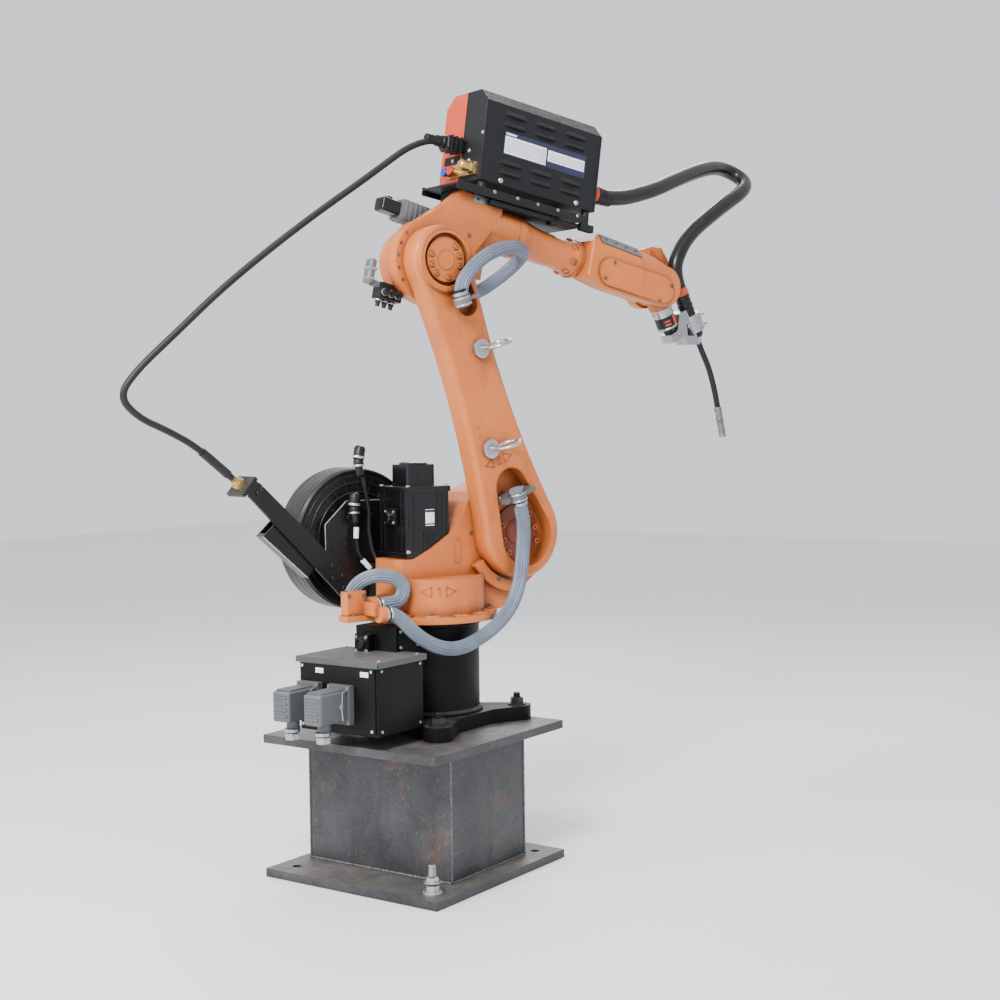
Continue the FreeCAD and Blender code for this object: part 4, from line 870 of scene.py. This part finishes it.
# ---- details: lower arm
def arm_details():
    screws = Shape(LOWER)
    screws.near(-64, ((-34, 27), (-39, -4), (-35, -34), (44, 24), (48, -8), (42, -38)), 6.5, 6)
    screws.screw((2, -58, 92), NEAR, 5, 5)
    screws.set_down("shoulder_cover_screws", "orange_paint", "lower_arm")
    numeral = Shape(LOWER)
    two = [(-5, 4), (-3, 9), (3, 9), (5, 4), (-5, -9), (5, -9)]
    mark(numeral, two, lambda x: -92, -12, 168)
    for z in (214, 230):
        numeral.lathe((-40, -92, z + 20), NEAR, [(3, 0), (3, 0.8), (2, 1)], 14)
    numeral.set_down("axis_mark_2", "orange_paint", "lower_arm", sharp=60)
    floor = Shape(LOWER)
    floor.lathe((0, -64.2, 0), NEAR, [(26, 0), (26, 2), (22, 3), (20, 1.2)], 40)
    floor.set_down("shoulder_hub", EXTRA["pocket_red"], "lower_arm", "orange_paint")
    bands = Shape(LOWER)
    cuffs = Shape(LOWER)
    for x, z in ((-7, 76), (-7, 90), (-5, 503), (-5, 517)):
        bands.lathe((x, ARM_HOSE_Y, z), UP, band(18.6, 19.2, 4, 0.8), 32)
    for x, z in ((-7, 66), (-5, 524)):
        bands.lathe((x, ARM_HOSE_Y, z), UP, band(15.2, 16, 7), 32)
        cuffs.lathe((x, ARM_HOSE_Y, z + 7.5), UP, band(15.4, 16.2, 5), 32)
    for x, z in ((-32, 90), (34, 90), (24, 516), (38, 516)):
        bands.screw((x, -86, z), UP, 4, 3)
    for x, z in ((-26, 199), (22, 403)):
        bands.lathe((x, -100, z), NEAR, [(19, -1), (20, 0), (20, 1.5), (18, 2.5), (9, 3)], 32)
        bands.screw((x, -103, z), NEAR, 6, 4)
    bands.set_down("clamp_bands", "bright_steel", "lower_arm")
    cuffs.set_down("clamp_cuffs", "junction_black", "lower_arm")


# ---- details: elbow
def elbow_details():
    cap = Shape(LOWER @ turned("Y", 32.3, 0, 0, 600))
    for x, z in ((18, 32), (30, 16), (36, -4), (13, -34), (-17, -33), (-32, -19), (-37, 2)):
        cap.lathe((x, -96, z), NEAR, [(8, -1), (8, 0.6), (7, 1), (6.4, 0.4)], 24)
        cap.screw((x, -96, z), NEAR, 5.4, 3.4)
    cap.lathe((0, -96, 0), NEAR, [(21, -1), (21, 1), (19.6, 1.6), (18, 0.6)], 40)
    cap.tube(circle(0, -100, 0, 63, 72), 1.6, 8, closed=True)
    cap.tube(circle(0, -96, 0, 45, 64), 1.2, 8, closed=True)
    cap.set_down("pivot_cap_screws", "orange_paint", "lower_arm")
    screws = Shape(ELBOW)
    for angle in (150, 168, 186, 204, 222):
        a = radians(angle)
        screws.screw((82 * cos(a), -45, 82 * sin(a)), NEAR, 4, 0.8)
    screws.screw((82, -45, 80), NEAR, 6, 0.8)
    screws.set_down("elbow_screws", EXTRA["rusty_bolt"], "elbow", "orange_paint")
    plate = Shape(ELBOW)
    plate.prism([(76, 0, 153), (128, 0, 157), (128, 0, 168), (76, 0, 168)], (0, -45, 0), (0, -0.9, 0))
    plate.block((76, -45.9, 167.5), (128, -24, 170), 0.6)
    plate.set_down("elbow_top_plate", "bracket_silver", "elbow")
    heads = Shape(ELBOW)
    for x in (88, 116):
        heads.screw((x, -34, 170), UP, 4, 3)
        heads.lathe((x, -45.9, 161), NEAR, [(3, 0), (3, 0.6)], 14)
    heads.set_down("elbow_top_plate_screws", DARK, "elbow", "bracket_silver")
    plugs = Shape(ELBOW)
    nuts = Shape(ELBOW)
    for x in (-80, -64, -48):
        plugs.lathe((x, -14, -84), NEAR, [(7, 0), (7, 7), (5.4, 9), (5.4, 15)], 20)
        nuts.lathe((x, -14, -84), NEAR, [(7.6, 1), (8, 1.6), (8, 4), (7.6, 4.6)], 20)
        plugs.lathe((x, 4, -96), (0, 0, -1), [(6, 0), (6, 8), (4.6, 10), (4.6, 16)], 20)
        nuts.lathe((x, 4, -96), (0, 0, -1), [(6.8, 1), (7.2, 1.6), (7.2, 4), (6.8, 4.6)], 20)
    nuts.block((-123, -13, -46), (-105, 13, -40), 2)
    nuts.block((-123, -13, -66), (-105, 13, -62), 2)
    plugs.set_down("junction_plugs", "junction_black", "elbow")
    nuts.set_down("junction_nuts", STEEL, "elbow", "bright_steel")
    fins = Shape(ELBOW)
    for k in range(5):
        fins.block((-52 + k * 12, 5, 81), (-47 + k * 12, 51, 123), 1)
    fins.set_down("wrist_motor_fins", "clamp_grey", "elbow")
    lid = Shape(ELBOW)
    lid.block((-106, 16, 90), (-103, 40, 112), 1)
    lid.lathe((-84, 28, 116), UP, [(9, 0), (9, 5), (7, 6)], 20)
    lid.set_down("wrist_motor_socket", "junction_black", "elbow")


# ---- details: wire feeder
FEEDER_L, FACE_Y, FEEDER_TOP, FEEDER_SPLIT = 318, -65, 196, 8
LOUVRE_X = (78, 161, 245)
LOUVRE_Z = (153, 131, 50, 29)


def louvre(shape, cx, cz, half=31, tall=11, proud=6):
    """A pressed louvre: closed at the top and ends, open below."""
    rows = []
    columns = 14
    for v in range(6):
        row = []
        for u in range(columns + 1):
            s = 2 * u / columns - 1
            bulge = (1 - abs(s) ** 3.2) * sin(pi / 2 * v / 5)
            half_here = half * (1 - 0.05 * (1 - v / 5))
            row.append(shape.bm.verts.new((cx + half_here * s, FACE_Y - proud * bulge,
                    cz + tall / 2 - tall * v / 5 * (1 - 0.12 * abs(s) ** 4))))
        rows.append(row)
    under = [shape.bm.verts.new((v.co.x, FACE_Y + 0.5, v.co.z + 1.5)) for v in rows[-1]]
    rows.append(under)
    for a, b in zip(rows, rows[1:]):
        for u in range(columns):
            shape.bm.faces.new((a[u], a[u + 1], b[u + 1], b[u]))


def on_face(shape, x0, z0, x1, z1, proud, bevel):
    """A thin block on the feeder's near face."""
    shape.block((x0, FACE_Y - proud, z0), (x1, FACE_Y, z1), bevel)


def feeder_details():
    louvres = Shape(FEEDER)
    slits = Shape(FEEDER)
    for cx in LOUVRE_X:
        for cz in LOUVRE_Z:
            louvre(louvres, cx, cz)
            # painted shade: a dark strip under each louvre stands in for the shade in its opening
            slits.block((cx - 27, FACE_Y - 0.5, cz - 7.2), (cx + 27, FACE_Y + 0.3, cz - 4.8), 0.2)
    on_face(louvres, 0, 0, FEEDER_L, 3, 1.4, 0.6)
    louvres.block((FEEDER_L - 2, FACE_Y - 1.2, 0), (FEEDER_L + 1.2, FACE_Y + 4, FEEDER_TOP - 27), 0.5)
    louvres.block((-1.2, FACE_Y - 1.2, 0), (2, FACE_Y + 4, FEEDER_TOP - 27), 0.5)
    louvres.set_down("feeder_louvres", "feeder_grey", "elbow", sharp=40)
    slits.block((-0.6, FEEDER_SPLIT - 1, 0), (0.4, FEEDER_SPLIT + 1, FEEDER_TOP), 0.2)
    slits.block((0, FEEDER_SPLIT - 1, FEEDER_TOP - 0.4), (FEEDER_L, FEEDER_SPLIT + 1, FEEDER_TOP + 0.5),
                0.2)
    slits.block((-1, 14, 44), (0.4, 70, 62), 0.6)
    slits.set_down("feeder_gaps", EXTRA["hole_dark"], "elbow", "feeder_grey")
    back = Shape(FEEDER)
    back.block((52, FACE_Y - 0.7, 66), (280, FACE_Y + 0.3, 116), 0.3)
    back.set_down("feeder_label_ground", EXTRA["blue_label"], "elbow", "feeder_grey")
    panels = Shape(FEEDER)
    on_face(panels, 55, 69, 168, 106, 1.2, 0.3)
    on_face(panels, 173, 80, 276, 104, 1.2, 0.3)
    on_face(panels, 56, 109, 84, 113, 1.2, 0.2)
    panels.set_down("feeder_blank_labels", EXTRA["white_label"], "elbow", "feeder_grey")
    lines = Shape(FEEDER)
    for k in range(6):
        on_face(lines, 58, 74 + k * 5, 165, 74.7 + k * 5, 1.5, 0.1)
    for k in range(3):
        on_face(lines, 176, 85 + k * 6, 273, 85.7 + k * 6, 1.5, 0.1)
    lines.set_down("feeder_label_lines", FINISH["clamp_grey"], "elbow", "feeder_grey")
    screws = Shape(FEEDER)
    for x, z in ((54, 9), (264, 9)):
        screws.lathe((x, FACE_Y, z), NEAR, [(6, 0), (6, 1), (4.5, 3), (2, 3.8)], 20)
    for x in (42, 104, 160, 216, 272):
        screws.screw((x, -64.5, -18), NEAR, 3.6, 2.5)
    for y, z in ((-59, 100), (-16, 67), (-18, 46), (-30, 38), (-31, 24), (62, 30), (40, 52)):
        screws.lathe((0, y, z), REAR, [(4.5, 0), (4.5, 1), (3.2, 2.6), (1.5, 3)], 18)
    for y, z in grid((-40, 30), (30, 150)):
        screws.lathe((FEEDER_L, y, z), FRONT, [(4.5, 0), (4.5, 1), (3.2, 2.6), (1.5, 3)], 18)
    screws.set_down("feeder_screws", STEEL, "elbow", "bright_steel")
    rails = Shape(FEEDER)
    rails.block((-55, -66, -32), (305, -62, -14), 0.8)
    rails.block((-55, 62, -32), (305, 64, -14), 0.8)
    rails.block((286, -66, -46), (322, -52, -30), 1.5)
    rails.block((206, -60, -50), (226, -40, -30), 1.5)
    rails.block((40, -60, -44), (282, 50, -33), 3)
    rails.set_down("feeder_rails", "bracket_grey", "elbow")
    # painted shade: dark discs along the rail stand in for the shade inside its holes
    dots = Shape(FEEDER)
    for k in range(28):
        dots.lathe((-45 + k * 12.4, -66, -27), NEAR, [(2, -0.5), (2, 0.3)], 10)
    for x in (294, 304, 314):
        dots.lathe((x, -66, -38), NEAR, [(2.6, -0.5), (2.6, 0.3)], 12)
    dots.set_down("feeder_rail_holes", EXTRA["hole_dark"], "elbow", "bracket_grey")
    glands = Shape(FEEDER)
    glands.lathe((-46, 16, 78), REAR, [(14, -2), (14, 6), (12, 8), (12, 20), (9.5, 24), (9, 44),
            (7.5, 46)], 28)
    for x in (-12, -24, -36):
        glands.block((x - 2, -4, 61.5), (x + 2, 36, 94.5), 1)
    glands.lathe((340, -36, 48), FRONT, [(19.2, -1), (20, 1), (20, 9), (18.8, 11), (19.4, 13), (18.6, 16),
            (19.2, 19), (18.4, 22), (19, 25), (18.2, 28), (17.8, 42)], 36)
    glands.set_down("feeder_glands", "junction_black", "elbow")
    brass = Shape(FEEDER)
    brass.lathe((-6, -40, 26), REAR, [(14, 0), (14, 9), (12.5, 10)], 24, 0)
    brass.lathe((-34, -40, 26), REAR, [(9, -1), (9, 3), (7, 5)], 24)
    brass.set_down("feeder_brass_nut", "brass", "elbow")
    for name, y, material in (("red_port_ring", 14, "red_port"), ("blue_port_ring", 36, "blue_port")):
        ring = Shape(FEEDER)
        ring.lathe((-20, y, 22), REAR, [(9, -1), (9.4, 0), (9.4, 5), (8.6, 6), (5, 5)], 24)
        ring.set_down(name, EXTRA[material], "elbow", "brass")


# ---- details: forearm and wrist
FOREARM_Z = 124
FLANGE_X, FLANGE_R = 378, 37


def wrist_details():
    screws = Shape(ELBOW)
    screws.near(-66, ((470, 131), (450, 90), (650, 127), (620, 84)), 4, 2.5)
    for x in (446, 476, 506, 536):
        screws.screw((x, -51.5, 178.5), (0, -0.74, 0.67), 3.2, 3)
    screws.set_down("wrist_cover_screws", EXTRA["rusty_bolt"], "forearm", "orange_paint")
    rim = Shape(ELBOW)
    rim.tube(pill(462, 108, 628, 112, 31, -66, 20), 1.0, 8, closed=True)
    for angle in (100, 150, 202, 250, 300, 350, 50):
        a = radians(angle)
        out = (0, cos(a), sin(a))
        spot = (FLANGE_X, FLANGE_R * out[1], FOREARM_Z + FLANGE_R * out[2])
        rim.lathe(spot, out, [(8, 0), (8, 4), (6.5, 5), (6, 3.5)], 20)
        rim.screw(spot, out, 4.4, 6)
    rim.tube([(394, 42.5 * cos(2 * pi * k / 48), FOREARM_Z + 42.5 * sin(2 * pi * k / 48))
              for k in range(48)], 1.2, 8, closed=True)
    for z in (190, 198, 206):
        rim.tube([(640, 13.5, z + 12), (690, 13.5, z - 12)], 1.6, 8)
    rim.set_down("forearm_flange_screws", "orange_paint", "forearm")
    strip = Shape(ELBOW)
    strip.prism([(0, -61, 166.5), (0, -42.5, 187), (0, -43.6, 188.4), (0, -62.4, 167.6)], (430, 0, 0),
                (122, 0, 0), 0.4)
    strip.set_down("wrist_strip_cover", "clamp_grey", "forearm")


# ---- details: tool
TORCH_Z = 75


def arc_patch(shape, x0, x1, r, thick, a0, a1, z0=0, steps=12):
    outline = []
    for k in range(steps + 1):
        a = radians(a0 + (a1 - a0) * k / steps)
        outline.append((0, -cos(a) * (r + thick), z0 + sin(a) * (r + thick)))
    for k in range(steps, -1, -1):
        a = radians(a0 + (a1 - a0) * k / steps)
        outline.append((0, -cos(a) * (r - 1), z0 + sin(a) * (r - 1)))
    shape.prism(outline, (x0, 0, 0), (x1 - x0, 0, 0))


def tool_details():
    red = Shape(HAND)
    arc_patch(red, 73, 98, 24, 0.5, 8, 74)
    arc_patch(red, 80, 84, 24, 0.6, -48, -14)
    arc_patch(red, 88, 92, 24, 0.6, -48, -14)
    red.lathe((38, 0, TORCH_Z), FRONT, [(17.8, -3), (18.8, -1), (18.8, 14), (17.4, 15)], 36)
    red.set_down("torch_red_rings", "feeder_red", "tool")
    bright = Shape(HAND)
    bright.lathe((97, 0, 0), FRONT, [(24.2, 0), (24.8, 0.8), (24.8, 4), (23, 6)], 40)
    bright.lathe((51.5, 0, 0), FRONT, band(25.2, 25.8, 6), 40)
    for angle in range(20, 380, 60):
        a = radians(angle)
        bright.screw((60, -25 * cos(a), 25 * sin(a)), (0, -cos(a), sin(a)), 3, 2)
    for x in (113, 137):
        bright.screw((x, -25, 82), NEAR, 4, 4)
        bright.screw((x, -20, 97), NEAR, 3.4, 5)
    bright.near(-18, ((126, -6), (126, 12), (98, 46), (122, 46)), 3.6, 3)
    bright.lathe((160, 0, TORCH_Z), FRONT, [(13, -1), (13, 5), (10, 8), (9, 14), (7.4, 16)], 28)
    bright.set_down("tool_bright_parts", "bright_steel", "tool")
    black = Shape(HAND)
    for x, r, wide in ((54, 18.2, 8), (66, 17.8, 5), (76, 18.4, 7), (90, 17.8, 6), (148, 18.4, 8)):
        black.lathe((x, 0, TORCH_Z), FRONT, band(r - 1, r, wide), 32)
    black.set_down("torch_grip_rings", "sensor_black", "tool")
    ahead = Vector((50, 0, -12)).normalized()
    start = Vector((350, 0, 59))
    tip = Shape(HAND)
    tip.lathe(start, ahead, [(8.6, -8), (9.3, -6), (9.3, 3), (8.8, 4)], 24)
    tip.lathe(start + ahead * 20, ahead, band(8.6, 9.1, 6), 24)
    tip.lathe(start + ahead * 64, ahead, [(8.6, 0), (8.8, 1), (7.6, 2.4), (6.4, 2.4), (6.2, 0.5)], 24)
    tip.set_down("nozzle_rings", "nozzle_steel", "tool")


def side_motor(name, place, centre, r, y0, y1, body):
    """A round servo motor lying along y: flange, ribs, end bell, plug and its screws."""
    x, z = centre
    trim = Shape(place)
    trim.lathe((x, y0, z), (0, 1, 0), [(r, 0), (r * 1.06, 0.5), (r * 1.06, 8), (r, 9)], 48)
    trim.lathe((x, y1 - 22, z), (0, 1, 0), [(r, -1), (r * 1.04, 0), (r * 1.04, 20), (r * 0.98, 24),
            (r * 0.7, 26)], 48)
    trim.lathe((x, y1, z), (0, 1, 0), [(r * 0.55, -1), (r * 0.55, 5), (r * 0.48, 7), (r * 0.1, 7)], 32)
    for k in range(24):
        a = 2 * pi * k / 24
        ray = (cos(a), sin(a))
        trim.tube([(x + ray[0] * r, y0 + 10, z + ray[1] * r), (x + ray[0] * r, y1 - 24, z + ray[1] * r)],
                  1.6, 8)
    trim.block((x - 14, y1 - 50, z + r - 4), (x + 14, y1 - 24, z + r + 12), 3)
    trim.lathe((x - 12, y1 - 37, z + r + 4), REAR, [(8, 0), (8, 12), (6, 14), (6, 26)], 20)
    trim.set_down(name + "_trim", "motor_black", body)
    screws = Shape(place)
    for k in range(4):
        a = pi / 4 + pi / 2 * k
        screws.screw((x + 0.82 * r * cos(a), y1 + 2.5, z + 0.82 * r * sin(a)), (0, 1, 0), 4, 3)
        screws.screw((x + 0.98 * r * cos(a), y0 + 8, z + 0.98 * r * sin(a)), (0, 1, 0), 3.6, 4)
    screws.set_down(name + "_screws", STEEL, body, "bright_steel")


side_motor("shoulder_motor", TURN, (180, 400), 54, 66, 200, "column")
side_motor("elbow_motor", ELBOW, (44, 4), 44, 40, 120, "elbow")
plinth_details()
base_details()
column_details()
motor_details()
plug_details()
spool_details()
arm_details()
elbow_details()
feeder_details()
wrist_details()
tool_details()


# ---- floor and light
def area_light(name, place, target, size, power, tint=(1, 1, 1)):
    data = bpy.data.lights.new(name, "AREA")
    data.shape = "RECTANGLE"
    data.size = size[0]
    data.size_y = size[1]
    data.energy = power
    data.color = tint
    lamp = bpy.data.objects.new(name, data)
    lamp.location = place
    lamp.rotation_euler = (Vector(target) - Vector(place)).to_track_quat("-Z", "Y").to_euler()
    bpy.context.scene.collection.objects.link(lamp)


def studio():
    net = Net("studio_floor")
    tone = net.ramp(net.noise(1.5, 4), [(0.3, (0.83, 0.83, 0.83)), (0.7, (0.86, 0.86, 0.86))])
    net.join(tone, net.shader.inputs["Base Color"])
    net.join(net.bump(net.noise(60, 3), 0.05, 0.0005), net.shader.inputs["Normal"])
    net.shader.inputs["Roughness"].default_value = 0.7
    shape = Shape(ROW)
    shape.block((-9000, -9000, -21), (9000, 9000, -1))
    floor = shape.set_down("floor", net.material, None)
    world = bpy.data.worlds.new("studio")
    world.use_nodes = True
    world.node_tree.nodes["Background"].inputs[0].default_value = (0.93, 0.95, 1.0, 1)
    world.node_tree.nodes["Background"].inputs[1].default_value = 1.15
    bpy.context.scene.world = world
    middle = (0.1, -0.05, 0.9)
    area_light("key", (-3.0, -1.1, 3.3), middle, (1.2, 1.2), 260)
    area_light("side", (-2.8, 1.4, 1.8), middle, (0.6, 1.8), 70)
    area_light("rim", (2.4, 1.2, 2.8), middle, (1.6, 1.6), 60)


studio()
